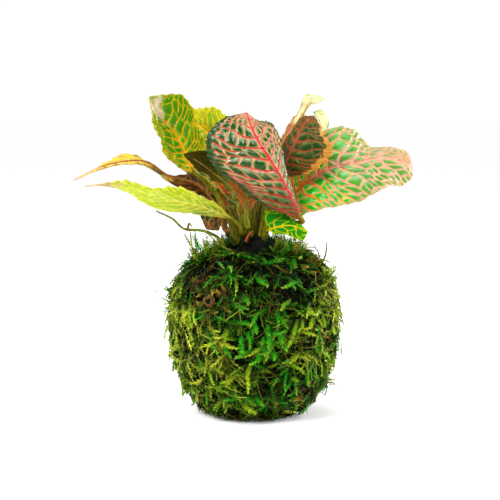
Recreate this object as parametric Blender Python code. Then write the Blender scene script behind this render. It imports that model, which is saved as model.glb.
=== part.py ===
"""A nerve plant (Fittonia) growing from a moss ball, a kokedama, at its real size.

The origin is the centre of the small flat spot that the ball rests on. +Z is up and -Y is the
side that is seen first. All sizes below are in millimetres; the meshes are built in metres.
"""
import math
import random

import bmesh
import bpy
import numpy as np

MM = 0.001
GAP = 0.3

# The moss ball, as radius and height pairs up its outside from the edge of the resting spot
MOSS_OUTLINE = [(19, 0), (26, 3.5), (32.5, 10), (38.5, 21), (41.8, 33), (43.2, 45), (43.2, 56),
                (41.8, 65), (38.4, 73), (33, 79.5), (25.5, 84), (17.5, 86.5)]
MOSS_MOUTH_RADIUS = 14.5
MOSS_MOUTH_HEIGHT = 84.5
MOSS_THICKNESS = 6.0
BALL_SIDES = 36
MOSS_RINGS = 22
SOIL_RINGS = 9
SOIL_TOP = 91.0
TUFT_HEIGHT = 1.9
LUMP_HEIGHT = 1.2
BALL_MIDDLE = 44.0
SPRIG_COUNT = 112
SPRIG_LENGTH = (11.0, 16.0)
SPRIG_WIDTH = 4.2
SPRIG_LIFT = (1.2, 2.4)
SPRIG_ROOT_DEPTH = 2.6
MOUTH_SPRIG_COUNT = 18
MOUTH_SPRIG_LENGTH = (6.0, 9.5)

# The stems, planted in holes in the soil
HOLE_BOTTOM = 77.0
STEM_SIDES = 10
STEMS = {
    "stem_middle": dict(radius=(3.5, 2.2), points=[(-3, 0, 92), (-4, -1, 98), (-6, 0, 108), (-8, 4, 117)]),
    "stem_left": dict(radius=(2.5, 1.7), points=[(-9, -3, 92), (-11, -3, 98), (-14, 0, 107)]),
    "stem_right": dict(radius=(2.5, 1.6), points=[(4.5, 0, 92), (5, 1, 98), (6, 4, 107), (12, 9, 119)]),
    "stem_back": dict(radius=(2.3, 1.6), points=[(-2, 8, 92), (-1, 12, 98), (0, 18, 108), (1, 22, 122)]),
}
STUB_RADIUS = (1.2, 0.7)
STUB_BOTTOM = 84.0
STUB_POINTS = [(-4, -7, 90), (-3, -8.5, 93), (-1, -9.5, 96)]

# Leaves
BLADE_THICKNESS = 0.8
EDGE_THICKNESS = 0.65
RIB_DEPTH = 0.7
CELL_RISE = 0.4
VEIN_SINK = 0.3
SCALLOP = 0.025
VEIN_BEND = 0.07

MOSS_GREEN = (0.105, 0.165, 0.016)
SOIL_BLACK = (0.012, 0.009, 0.006)
STEM_OLIVE = (0.27, 0.22, 0.05)
STUB_BROWN = (0.20, 0.07, 0.035)
DEEP_GREEN = (0.05, 0.16, 0.05)
FRESH_GREEN = (0.14, 0.36, 0.05)
YELLOW_GREEN = (0.42, 0.50, 0.07)
OLIVE_BROWN = (0.14, 0.085, 0.03)
RED_BROWN = (0.17, 0.07, 0.04)


def curve_point(points, where):
    """The points at the parameters where, 0 to 1, on a smooth curve through the given points."""
    p = np.asarray(points, float)
    steps = np.linalg.norm(np.diff(p, axis=0), axis=1)
    s = np.concatenate([[0.0], np.cumsum(steps)])
    s = s / s[-1]
    slope = np.empty_like(p)
    chord = np.diff(p, axis=0) / np.diff(s)[:, None]
    slope[0] = chord[0]
    slope[-1] = chord[-1]
    for i in range(1, len(p) - 1):
        before = s[i] - s[i - 1]
        after = s[i + 1] - s[i]
        slope[i] = (chord[i - 1] * after + chord[i] * before) / (before + after)
    where = np.asarray(where, float)
    k = np.clip(np.searchsorted(s, where, side="right") - 1, 0, len(p) - 2)
    h = (s[k + 1] - s[k])[..., None]
    x = (where - s[k])[..., None] / h
    return ((2 * x**3 - 3 * x**2 + 1) * p[k] + (x**3 - 2 * x**2 + x) * h * slope[k]
            + (3 * x**2 - 2 * x**3) * p[k + 1] + (x**3 - x**2) * h * slope[k + 1])


def unit(v):
    return v / np.maximum(np.linalg.norm(v, axis=-1, keepdims=True), 1e-9)


def material(name, colour, roughness):
    mat = bpy.data.materials.new(name)
    mat.use_nodes = True
    shader = mat.node_tree.nodes["Principled BSDF"]
    shader.inputs["Base Color"].default_value = (*colour, 1.0)
    shader.inputs["Roughness"].default_value = roughness
    shader.inputs["Metallic"].default_value = 0.0
    return mat


def make_object(name, vertices, faces, mat):
    """A mesh object from points in millimetres."""
    mesh = bpy.data.meshes.new(name)
    mesh.from_pydata([tuple(c * MM for c in v) for v in vertices], [], faces)
    mesh.materials.append(mat)
    mesh.validate()
    mesh.shade_smooth()
    mesh.set_sharp_from_angle(angle=math.radians(50))
    obj = bpy.data.objects.new(name, mesh)
    bpy.context.collection.objects.link(obj)
    return obj


def skin(loops):
    """Faces between loops of equal length, closed by a strip across the first and the last.

    Each loop runs over the upper side from left to right and back along the lower side, so the
    same diagonal splits both faces of a thin blade.
    """
    n = len(loops[0])
    half = n // 2
    vertices = [tuple(p) for loop in loops for p in loop]
    faces = []
    for row in range(len(loops) - 1):
        a = row * n
        b = a + n
        for i in range(n):
            j = (i + 1) % n
            if i < half:
                faces += [(a + i, a + j, b + j), (a + i, b + j, b + i)]
            else:
                faces += [(a + i, a + j, b + i), (a + j, b + j, b + i)]
    last = (len(loops) - 1) * n
    for i in range(half - 1):
        k = n - 1 - i
        faces += [(i, k - 1, i + 1), (i, k, k - 1)]
        faces += [(last + i, last + i + 1, last + k - 1), (last + i, last + k - 1, last + k)]
    return vertices, faces


def rings_along(path, tangents, radii, sides, side):
    """Round loops along a path, each starting opposite the side direction, carried without twist."""
    loops = []
    angles = math.pi - (np.arange(sides) + 0.5) * 2 * math.pi / sides
    for centre, t, r in zip(path, tangents, radii):
        side = unit(side - (side @ t) * t)
        up = np.cross(side, t)
        loops.append(centre + r * (np.outer(np.cos(angles), side) + np.outer(np.sin(angles), up)))
    return loops


# Blades

def blade_surface(leaf, g, v):
    """The middle surface of a blade: g runs from base to tip, v from the left to the right edge.

    Lines of equal g follow the side veins, which leave the rib low and reach the edge high.
    """
    across = np.abs(v)
    along_rib = g - leaf["sweep"] * g * (1 - g)
    rib = curve_point(leaf["rib"], along_rib)
    edge = np.where((v < 0)[..., None], curve_point(leaf["left"], g), curve_point(leaf["right"], g))
    forward = unit(curve_point(leaf["rib"], np.clip(along_rib + 0.02, 0, 1))
                   - curve_point(leaf["rib"], np.clip(along_rib - 0.02, 0, 1)))
    side = edge - rib
    half_width = np.linalg.norm(side, axis=-1)
    normal = unit(np.cross(side, forward)) * np.where(v < 0, -1, 1)[..., None]
    swell = np.where(v < 0, leaf["swell"][0], leaf["swell"][1])
    hump = 4 * across * (1 - across) * half_width
    scallop = SCALLOP * across**3 * np.abs(np.sin(leaf["pairs"] * math.pi * g))
    point = rib + side * (across + scallop * across)[..., None]
    return point + normal * (swell * hump)[..., None] - forward * (VEIN_BEND * hump)[..., None]


def blade_rows(leaf):
    """Loops of points round the blade, one for each side vein and one between each pair."""
    columns = leaf["columns"]
    count = 2 * leaf["pairs"]
    g_values = np.arange(1, count) / count
    g_values = np.append(g_values, 1 - 0.25 / count)
    v_values = np.linspace(-1, 1, columns)
    g, v = np.meshgrid(g_values, v_values, indexing="ij")
    step = 0.01
    middle = blade_surface(leaf, g, v)
    across = blade_surface(leaf, g, np.clip(v + step, -1, 1)) - blade_surface(leaf, g, np.clip(v - step, -1, 1))
    along = blade_surface(leaf, np.clip(g + step, 0, 1), v) - blade_surface(leaf, g - step, v)
    normal = unit(np.cross(across, along))
    loops = []
    for row in range(len(g_values)):
        on_vein = row % 2 == 1
        fade = min(1.0, 4 * g_values[row] * (1 - g_values[row]))
        upper = []
        lower = []
        for col in range(columns):
            v_abs = abs(v_values[col])
            at_rib = v_abs < 0.01
            at_edge = v_abs > 0.99
            rise = 0.0 if (at_rib or at_edge) else (-VEIN_SINK if on_vein else CELL_RISE)
            if at_edge:
                rise = leaf["wave"] * math.sin(2 * math.pi * leaf["waves"] * g_values[row] + 2 * v_values[col])
            if at_rib:
                rise = -VEIN_SINK
            rise *= fade
            thick = EDGE_THICKNESS if at_edge else BLADE_THICKNESS
            below = thick / 2 + (RIB_DEPTH * fade if at_rib else 0.0)
            n = normal[row, col]
            upper.append(middle[row, col] + n * (thick / 2 + rise))
            lower.append(middle[row, col] + n * (rise - below))
        loops.append(np.array(upper + lower[::-1]))
    return loops


def stem_axis(name, height):
    """The point and the direction of a stem's axis at a height."""
    spec = STEMS[name]
    t = np.linspace(0, 1, 200)
    path = curve_point(spec["points"], t)
    i = int(np.clip(np.searchsorted(path[:, 2], height), 1, len(path) - 2))
    radius = spec["radius"][0] + (spec["radius"][1] - spec["radius"][0]) * t[i]
    return path[i], unit(path[i + 1] - path[i - 1]), radius


def stalk_path(leaf):
    """Points along the leaf stalk, from just off its stem to the base of the blade."""
    axis, direction, radius = stem_axis(leaf["stem"], leaf["height"])
    targets = [np.asarray(p, float) for p in leaf["stalk"]] + [np.asarray(leaf["rib"][0], float)]
    out = targets[0] - axis
    out = unit(out - (out @ direction) * direction)
    foot = axis + out * (radius + GAP)
    points = [foot, foot + out * 1.5] + targets
    return curve_point(points, np.linspace(0, 1, leaf["stalk_rings"] + 1)), out


def make_leaf(name, leaf):
    """One leaf: loops from the foot of its stalk up to the blade, then the blade's own rows."""
    rows = blade_rows(leaf)
    path, out = stalk_path(leaf)
    tangents = unit(np.gradient(path, axis=0))
    tangents[0] = out
    radii = np.linspace(leaf["stalk_radius"] * 1.15, leaf["stalk_radius"] * 0.95, len(path) - 1)
    across = rows[0][leaf["columns"] - 1] - rows[0][0]
    rings = rings_along(path[-2::-1], tangents[-2::-1], radii[::-1], 2 * leaf["columns"], across)
    vertices, faces = skin(rings[::-1] + rows)
    make_object(name, vertices, faces, material(name, leaf["colour"], 0.45))


def leaf_spec(stem, height, base, tip, left, rib, right, stalk, colour, pairs=6, columns=7, swell=(0.05, 0.05),
              sweep=0.45, wave=0.8, waves=3.0, stalk_radius=1.25, stalk_rings=5):
    """A leaf from three curves between its base and its tip: left edge, rib and right edge."""
    return dict(stem=stem, height=height, left=[base, *left, tip], rib=[base, *rib, tip],
                right=[base, *right, tip], stalk=stalk, colour=colour, pairs=pairs, columns=columns, swell=swell,
                sweep=sweep, wave=wave, waves=waves, stalk_radius=stalk_radius, stalk_rings=stalk_rings)


def spread_leaf(stem, height, base, tip, arch, up, half_width, stalk, colour, cup=0.25, **more):
    """A leaf with even halves, whose rib arches over between its base and its tip."""
    base = np.asarray(base, float)
    tip = np.asarray(tip, float)
    forward = unit(tip - base)
    up = unit(np.asarray(up, float) - (np.asarray(up, float) @ forward) * forward)
    right = np.cross(forward, up)
    rib = [base + (tip - base) * t + up * arch * 4 * t * (1 - t) for t in (0.33, 0.67)]
    edges = []
    for sign in (-1, 1):
        edge = []
        for t, width in ((0.06, 0.62), (0.3, 1.0), (0.6, 0.88), (0.86, 0.42)):
            on_rib = base + (tip - base) * t + up * arch * 4 * t * (1 - t)
            edge.append(on_rib + (right * sign + up * cup) * half_width * width)
        edges.append(edge)
    return leaf_spec(stem, height, base, tip, edges[0], rib, edges[1], stalk, colour, **more)


LEAVES = {
    "leaf_front": leaf_spec(
        "stem_right", 98, base=(25, -24, 102), tip=(-4, -12, 157),
        left=[(13, -27, 108), (2, -29, 113), (-8, -26, 121), (-21, -20, 132), (-24, -15, 142), (-16, -13, 153)],
        rib=[(18, -32, 117), (8, -36, 134), (1, -30, 145)],
        right=[(22, -20, 110), (16, -17, 123), (13, -15, 141), (8, -13, 152), (1, -11, 153)],
        stalk=[(12, -7, 100), (20, -15, 101)], colour=DEEP_GREEN, pairs=7),
    "leaf_right": leaf_spec(
        "stem_right", 107, base=(19, -8, 113), tip=(82, 4, 130),
        left=[(19, 2, 122), (26, 8, 137), (40, 14, 147), (52, 15, 147), (61, 14, 139), (74, 9, 137.5), (80, 7, 135.5)],
        rib=[(26, -6, 120), (37, -3, 127), (50, 0, 130), (68, 2, 133)],
        right=[(22, -16, 107), (36, -22, 109), (54, -18, 113), (71, -8, 120), (78, -1, 120), (82, 1.5, 124.5)],
        stalk=[(13, -2, 109)], colour=FRESH_GREEN, pairs=7, swell=(0.05, 0.1)),
    "leaf_upper_left": leaf_spec(
        "stem_left", 103, base=(-31, -5, 126), tip=(-54, 0, 165),
        left=[(-37, -8, 128), (-45, -8, 136), (-50, -6, 148), (-53, -3, 158)],
        rib=[(-36, 2, 136), (-41, 6, 145), (-48, 5, 154)],
        right=[(-26, 0, 134), (-26, 3, 142), (-31, 4, 151), (-32, 5, 159), (-36, 5, 164.5), (-46, 4, 165.5)],
        stalk=[(-18, -3, 112), (-25, -4, 121)], colour=YELLOW_GREEN, pairs=6, swell=(-0.1, -0.15)),
    "leaf_behind_left": leaf_spec(
        "stem_back", 114, base=(-8, 15, 132), tip=(-39, 17, 155),
        left=[(-15, 13, 131), (-26, 12, 133), (-34, 13, 139), (-39, 15, 148)],
        rib=[(-18, 20, 141), (-28, 22, 149)],
        right=[(-7, 23, 141), (-13, 28, 153), (-21, 29, 158), (-28, 28, 158), (-33, 24, 158), (-37, 20, 157.5)],
        stalk=[(-6, 16, 122)], colour=YELLOW_GREEN, pairs=6),
    "leaf_dark_small": leaf_spec(
        "stem_middle", 112, base=(-15, -1, 120), tip=(-36, -12, 136),
        left=[(-15, 1, 127), (-21, -3, 136), (-29, -6, 137)],
        rib=[(-21, -5, 125), (-28, -9, 131)],
        right=[(-20, -8, 122), (-25, -13, 126), (-32, -14, 131)],
        stalk=[(-11, 0, 116)], colour=OLIVE_BROWN, pairs=4, columns=5, stalk_radius=1.0),
    "leaf_long_left": leaf_spec(
        "stem_left", 97, base=(-22, -2, 112), tip=(-93, -10, 122),
        left=[(-25, 4, 118), (-32, 8, 125), (-43, 10, 123), (-57, 12, 131), (-63, 10, 135), (-74, 6, 132),
              (-84, 0, 127)],
        rib=[(-30, -3, 119), (-44, -4, 123), (-56, -4, 131), (-68, -5, 131), (-81, -8, 128)],
        right=[(-26, -12, 114), (-34, -17, 118), (-43, -19, 123), (-55, -21, 131), (-68, -20, 132),
               (-79, -16, 128)],
        stalk=[(-17, -1, 106)], colour=OLIVE_BROWN, pairs=7, swell=(0.0, 0.0)),
    "leaf_low_left": leaf_spec(
        "stem_middle", 96, base=(-11, -8, 102), tip=(-86, -22, 120),
        left=[(-28, 4, 104), (-43, 5, 105), (-55, 3, 110), (-64, -4, 115), (-74, -14, 120)],
        rib=[(-24, -9, 108), (-42, -14, 113), (-60, -19, 118), (-72, -21, 121)],
        right=[(-21, -22, 112), (-34, -30, 119), (-51, -34, 120), (-60, -31, 123), (-70, -26, 122)],
        stalk=[(-7, -6, 98)], colour=YELLOW_GREEN, pairs=7, swell=(0.0, 0.0)),
    "leaf_low_right": leaf_spec(
        "stem_right", 95, base=(7, -12, 97), tip=(27, -32, 98),
        left=[(6, -13, 106.5), (15, -18, 105.5), (22.5, -25.5, 101)],
        rib=[(12, -22, 99.5), (20, -29, 100.5)],
        right=[(10, -20, 96), (18, -30, 96), (24, -33, 94)],
        stalk=[(6, -6, 94)], colour=FRESH_GREEN, pairs=5, columns=5, swell=(0.1, 0.1), stalk_radius=1.0),
    "leaf_upright_brown": leaf_spec(
        "stem_right", 114, base=(15, -5, 124), tip=(31, 4, 155),
        left=[(13, -2, 132), (16, 2, 141), (20, 4, 148), (25, 4, 154)],
        rib=[(17, -12, 134), (22, -10, 144), (26, -2, 151)],
        right=[(24, -14, 125), (34, -17, 131), (39, -11, 138), (35, -4, 145), (34, 2, 150)],
        stalk=[(12, 1, 119)], colour=RED_BROWN, pairs=5, swell=(0.1, 0.1), stalk_radius=1.0),
    "leaf_curled_tip": leaf_spec(
        "stem_back", 117, base=(14, 6, 126), tip=(37, 12, 164),
        left=[(12, 13, 137), (17, 14, 148), (24, 17, 158), (27, 18, 165), (33, 17, 165)],
        rib=[(14, 9, 137), (19, 9, 147), (26, 10, 157), (28, 11, 163), (32, 13, 163)],
        right=[(15, 5, 138), (21, 4, 147), (26, 5, 156), (29, 5, 161), (34, 9, 162)],
        stalk=[(8, 13, 121)], colour=YELLOW_GREEN, pairs=5, columns=5, swell=(0.0, 0.0), wave=0.4,
        stalk_radius=1.0),
    "leaf_pale_tip": leaf_spec(
        "stem_right", 117, base=(23, 14, 122), tip=(31, 12, 157),
        left=[(22, 12, 132), (28, 12, 141), (32.5, 13, 147), (34.5, 13, 151.5), (32.5, 11, 154.5)],
        rib=[(26, 17, 130), (33, 20, 139), (38, 20, 147), (37, 16, 154)],
        right=[(31, 21, 128), (37, 24, 138), (39, 22, 146), (39, 19, 152.5), (35.7, 15, 157.7)],
        stalk=[(17, 12, 119)], colour=FRESH_GREEN, pairs=5, columns=5, swell=(0.0, 0.0), wave=0.4,
        stalk_radius=1.0),
    "leaf_under_left": leaf_spec(
        "stem_middle", 105, base=(-12, 9, 107), tip=(-25, 12, 95),
        left=[(-17, 12, 112), (-23, 14, 116), (-27, 15, 110), (-28, 14, 102)],
        rib=[(-17, 8, 106), (-22, 10, 101)],
        right=[(-14, 4, 101), (-19, 5, 96)],
        stalk=[(-9, 6, 107)], colour=DEEP_GREEN, pairs=4, columns=5, stalk_radius=1.0),
    "leaf_middle": leaf_spec(
        "stem_middle", 98, base=(-4, -7, 104), tip=(-7, -10, 138),
        left=[(1, -6, 111), (5, -8, 121), (3, -11, 131)],
        rib=[(-4, -8, 115), (-6, -9, 126)],
        right=[(-7, -6, 111), (-12, -8, 121), (-13, -11, 131)],
        stalk=[], colour=OLIVE_BROWN, pairs=5, columns=5, stalk_rings=3),
    "leaf_back_middle": spread_leaf(
        "stem_back", 112, base=(-1, 31, 121), tip=(-6, 70, 132), arch=6, up=(0, -0.3, 1), half_width=14,
        stalk=[(1, 25, 115)], colour=DEEP_GREEN),
    "leaf_back_top": spread_leaf(
        "stem_back", 119, base=(-2, 28, 130), tip=(-5, 44, 153), arch=-3, up=(0, -1, 0.6), half_width=12,
        stalk=[(-1, 25, 125)], colour=FRESH_GREEN, pairs=5, columns=5),
    "leaf_back_right": spread_leaf(
        "stem_back", 107, base=(14, 22, 112), tip=(53, 45, 123), arch=5, up=(0, -0.3, 1), half_width=15,
        stalk=[(6, 20, 111)], colour=DEEP_GREEN),
    "leaf_back_left": spread_leaf(
        "stem_back", 103, base=(-14, 24, 112), tip=(-42, 54, 128), arch=5, up=(0, -0.3, 1), half_width=14,
        stalk=[(-7, 19, 107)], colour=FRESH_GREEN),
    "leaf_back_low_right": spread_leaf(
        "stem_back", 99, base=(5, 23, 104), tip=(29, 41, 105), arch=3, up=(0.5, -0.8, 0.7), half_width=10,
        stalk=[(3, 17, 100.5)], colour=YELLOW_GREEN, pairs=5, columns=5),
    "leaf_back_low_left": spread_leaf(
        "stem_back", 95, base=(-1, 26.5, 102.5), tip=(-24, 43, 103), arch=3, up=(-0.2, -0.9, 0.6), half_width=10,
        stalk=[(-1.8, 16, 97), (-0.8, 21, 99.5)], colour=FRESH_GREEN, pairs=5, columns=5),
}


# Stems

def make_planted(name, points, radius, bottom, steps, mat):
    """A round stem that stands straight in its hole and leans above the soil, with a blunt end."""
    x, y, _ = points[0]
    above = curve_point(points, np.linspace(0, 1, steps))
    end = above[-1] + unit(above[-1] - above[-2]) * radius[1] * 0.8
    path = np.vstack([(x, y, bottom + GAP), above, end])
    radii = np.concatenate([[radius[0]], np.linspace(*radius, steps), [radius[1] * 0.5]])
    loops = rings_along(path, unit(np.gradient(path, axis=0)), radii, STEM_SIDES, np.array([1.0, 0.0, 0.0]))
    vertices, faces = skin(loops)
    make_object(name, vertices, faces, mat)


def make_stems():
    for name, spec in STEMS.items():
        make_planted(name, spec["points"], spec["radius"], HOLE_BOTTOM, 8, material(name, STEM_OLIVE, 0.5))
    brown = material("dried_stub", STUB_BROWN, 0.7)
    make_planted("dried_stub", STUB_POINTS, STUB_RADIUS, STUB_BOTTOM, 5, brown)


# Soil and moss

def lathe(outline, sides, shape=None):
    """A closed turned body from its outline, which starts and ends on the axis."""
    vertices = []
    rings = []
    for row, (radius, height) in enumerate(outline):
        if radius < 0.01:
            rings.append([len(vertices)] * sides)
            vertices.append((0.0, 0.0, height))
            continue
        ring = []
        for i in range(sides):
            angle = 2 * math.pi * i / sides
            point = (radius * math.cos(angle), radius * math.sin(angle), height)
            ring.append(len(vertices))
            vertices.append(point if shape is None else shape(row, i, point))
        rings.append(ring)
    faces = []
    for low, high in zip(rings, rings[1:]):
        for i in range(sides):
            j = (i + 1) % sides
            quad = [low[i], low[j], high[j], high[i]]
            face = [v for k, v in enumerate(quad) if v != quad[k - 1]]
            if len(face) == 4:
                faces += [(face[0], face[1], face[2]), (face[0], face[2], face[3])]
            else:
                faces.append(tuple(face))
    return vertices, faces


def outline_rows(points, count):
    """Rows spaced evenly along a smooth outline."""
    p = curve_point([(r, 0, z) for r, z in points], np.linspace(0, 1, count))
    return [(float(r), float(z)) for r, _, z in p]


def inner_outline(depth):
    """A wall at this depth under the moss's outside, from beside the resting spot up to the mouth."""
    rows = outline_rows(MOSS_OUTLINE, SOIL_RINGS)
    inside = []
    for i, (radius, height) in enumerate(rows):
        below = rows[max(i - 1, 0)]
        above = rows[min(i + 1, len(rows) - 1)]
        run = math.hypot(above[0] - below[0], above[1] - below[1])
        normal = ((above[1] - below[1]) / run, -(above[0] - below[0]) / run)
        inside.append((radius - normal[0] * depth, height - normal[1] * depth))
    inside[0] = (16.0, depth)
    inside[-1] = (MOSS_MOUTH_RADIUS + MOSS_THICKNESS - 0.5 - depth, MOSS_MOUTH_HEIGHT + 2 - depth)
    return inside


def tuft(row, i, point):
    """Moss relief: every ring but the resting spot and the mouth is lumpy and rough with tufts."""
    if row < 2 or row >= MOSS_RINGS - 1:
        return point
    chance = random.Random(row * 1009 + i)
    angle = 2 * math.pi * i / BALL_SIDES
    lump = LUMP_HEIGHT * (math.sin(3 * angle + point[2] / 11) + math.sin(5 * angle - point[2] / 7 + 2)) / 2
    rise = lump + TUFT_HEIGHT * chance.triangular(-0.9, 1.1, 0.2)
    rise = rise if row > 2 else rise * 0.3
    away = unit(np.array([point[0], point[1], (point[2] - BALL_MIDDLE) * 0.8]))
    sway = chance.uniform(-1.4, 1.4)
    x, y, z = np.asarray(point) + away * rise + np.array([-away[1], away[0], 0]) * sway
    return (float(x), float(y), max(float(z), 0.6))


def moss_radius(height):
    """The mean outer radius of the moss at a height."""
    outline = np.asarray(MOSS_OUTLINE)
    return float(np.interp(height, outline[:, 1], outline[:, 0]))


def sprig(chance, foot, outward, along, length, lift):
    """One flat tapering shoot of moss: three-sided, rooted deep and bent down at its tip."""
    across = unit(np.cross(outward, along))
    width = SPRIG_WIDTH * chance.uniform(0.8, 1.1)
    sag = 0.5 * length**2 / (2 * BALL_MIDDLE)
    root = foot - outward * SPRIG_ROOT_DEPTH - along * 1.5
    middle = foot + along * length * 0.45 + outward * (lift + 0.9)
    tip = foot + along * length + outward * (lift - sag)
    vertices = []
    for centre, w, h in ((root, 0.7 * width, 1.4), (middle, width, 1.2)):
        vertices += [centre - across * w / 2, centre + across * w / 2, centre + outward * h]
    vertices.append(tip)
    faces = [(0, 1, 2), (3, 5, 6), (5, 4, 6), (4, 3, 6)]
    for i, j in ((0, 1), (1, 2), (2, 0)):
        faces += [(i, i + 3, j), (j, i + 3, j + 3)]
    return vertices, faces


def strand(points, radius, sides=5):
    """A thin runner of moss along a path, pointed at its free end."""
    count = 3 * (len(points) - 1) + 1
    path = curve_point(points, np.linspace(0, 1, count))
    radii = np.linspace(radius, radius * 0.55, count)
    tangent = unit(np.gradient(path, axis=0))
    side = np.array([0.0, 1.0, 0.1])
    vertices = []
    for centre, t, r in zip(path, tangent, radii):
        side = unit(side - (side @ t) * t)
        up = np.cross(side, t)
        for k in range(sides):
            a = 2 * math.pi * k / sides
            vertices.append(centre + r * (math.cos(a) * side + math.sin(a) * up))
    faces = [tuple(range(sides))[::-1], tuple(range((count - 1) * sides, count * sides))]
    for row in range(count - 1):
        for k in range(sides):
            a = row * sides + k
            b = row * sides + (k + 1) % sides
            faces += [(a, b, b + sides), (a, b + sides, a + sides)]
    return vertices, faces


RUNNERS = [
    dict(points=[(-14, -14, 80), (-17, -15, 92), (-26, -15, 97), (-36, -15, 98), (-42, -15, 103), (-50, -15, 107)],
         radius=0.9),
    dict(points=[(-27, -12, 78), (-31, -16, 88), (-31, -15, 96)], radius=0.7),
    dict(points=[(30, -10, 76), (36, -12, 82), (37, -12, 90)], radius=0.7),
    dict(points=[(24, -10, 78), (33, -12, 83), (30, -12, 89)], radius=0.7),
]


def orient_out(vertices, faces):
    """The same faces, all turned to point out."""
    mesh = bmesh.new()
    points = [mesh.verts.new([c * MM for c in v]) for v in vertices]
    for face in faces:
        mesh.faces.new([points[i] for i in face])
    bmesh.ops.recalc_face_normals(mesh, faces=mesh.faces)
    bmesh.ops.triangulate(mesh, faces=mesh.faces)
    if mesh.calc_volume(signed=True) < 0:
        bmesh.ops.reverse_faces(mesh, faces=mesh.faces)
    return mesh


def sprig_places(chance):
    """Where the sprigs grow: spread evenly over the ball by the golden angle, and round its mouth."""
    places = []
    for k in range(SPRIG_COUNT):
        height = 7.0 + 80.0 * (k + 0.5) / SPRIG_COUNT
        angle = k * math.pi * (3 - math.sqrt(5)) + chance.uniform(-0.15, 0.15)
        places.append((height, angle))
    return places


def add_body(collection, name, vertices, faces):
    bm = orient_out(vertices, faces)
    mesh = bpy.data.meshes.new(name)
    bm.to_mesh(mesh)
    bm.free()
    obj = bpy.data.objects.new(name, mesh)
    collection.objects.link(obj)
    return obj


def make_moss():
    chance = random.Random(7)
    mat = material("moss_cover", MOSS_GREEN, 0.9)
    outside = outline_rows(MOSS_OUTLINE, MOSS_RINGS - 1)
    mouth = [(MOSS_MOUTH_RADIUS, MOSS_MOUTH_HEIGHT)]
    inside = inner_outline(MOSS_THICKNESS)[::-1]
    outline = [(0, 0)] + outside + mouth + inside + [(0, MOSS_THICKNESS)]
    vertices, faces = lathe(outline, BALL_SIDES, tuft)
    bm = orient_out(vertices, faces)
    mesh = bpy.data.meshes.new("moss_cover")
    bm.to_mesh(mesh)
    bm.free()
    mesh.materials.append(mat)
    cover = bpy.data.objects.new("moss_cover", mesh)
    bpy.context.collection.objects.link(cover)

    shoots = bpy.data.collections.new("moss_shoots")
    bpy.context.scene.collection.children.link(shoots)
    for number, (height, angle) in enumerate(sprig_places(chance)):
        radius = moss_radius(height)
        slope = (moss_radius(height + 2) - moss_radius(height - 2)) / 4
        outward = unit(np.array([math.cos(angle), math.sin(angle), -slope]))
        round_way = np.array([-math.sin(angle), math.cos(angle), 0.0])
        down = unit(np.cross(round_way, outward))
        down = down if down[2] < 0 else -down
        turn = chance.uniform(-1.1, 1.1)
        along = unit(down * math.cos(turn) + round_way * math.sin(turn))
        if height < 16 or height > 80:
            along = unit(round_way * math.copysign(1, turn) + (0.4 * outward if height > 80 else 0.0))
        foot = np.array([radius * math.cos(angle), radius * math.sin(angle), height])
        length = chance.uniform(*SPRIG_LENGTH)
        vertices, faces = sprig(chance, foot, outward, along, length, chance.uniform(*SPRIG_LIFT))
        add_body(shoots, "sprig_%03d" % number, vertices, faces)
    for number in range(MOUTH_SPRIG_COUNT):
        angle = 2 * math.pi * (number + chance.uniform(-0.25, 0.25)) / MOUTH_SPRIG_COUNT
        radius = MOSS_MOUTH_RADIUS + chance.uniform(2.0, 5.0)
        foot = np.array([radius * math.cos(angle), radius * math.sin(angle), MOSS_MOUTH_HEIGHT + 1])
        outward = np.array([math.cos(angle), math.sin(angle), 0.0])
        lean = np.array([math.cos(angle + 1.5), math.sin(angle + 1.5), 0.0]) * chance.uniform(-0.6, 0.6)
        along = unit(np.array([0.0, 0.0, 1.0]) + 0.35 * outward + lean)
        vertices, faces = sprig(chance, foot, unit(outward - (outward @ along) * along), along,
                                chance.uniform(*MOUTH_SPRIG_LENGTH), 0.4)
        add_body(shoots, "mouth_sprig_%02d" % number, vertices, faces)
    for number, runner in enumerate(RUNNERS):
        vertices, faces = strand(runner["points"], runner["radius"])
        add_body(shoots, "runner_%d" % number, vertices, faces)

    join = cover.modifiers.new("grown_together", "BOOLEAN")
    join.operation = "UNION"
    join.operand_type = "COLLECTION"
    join.collection = shoots
    join.solver = "EXACT"
    join.use_self = True
    bpy.context.view_layer.objects.active = cover
    cover.select_set(True)
    bpy.ops.object.modifier_apply(modifier=join.name)
    for obj in list(shoots.objects):
        bpy.data.objects.remove(obj)
    bpy.data.collections.remove(shoots)


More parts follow.
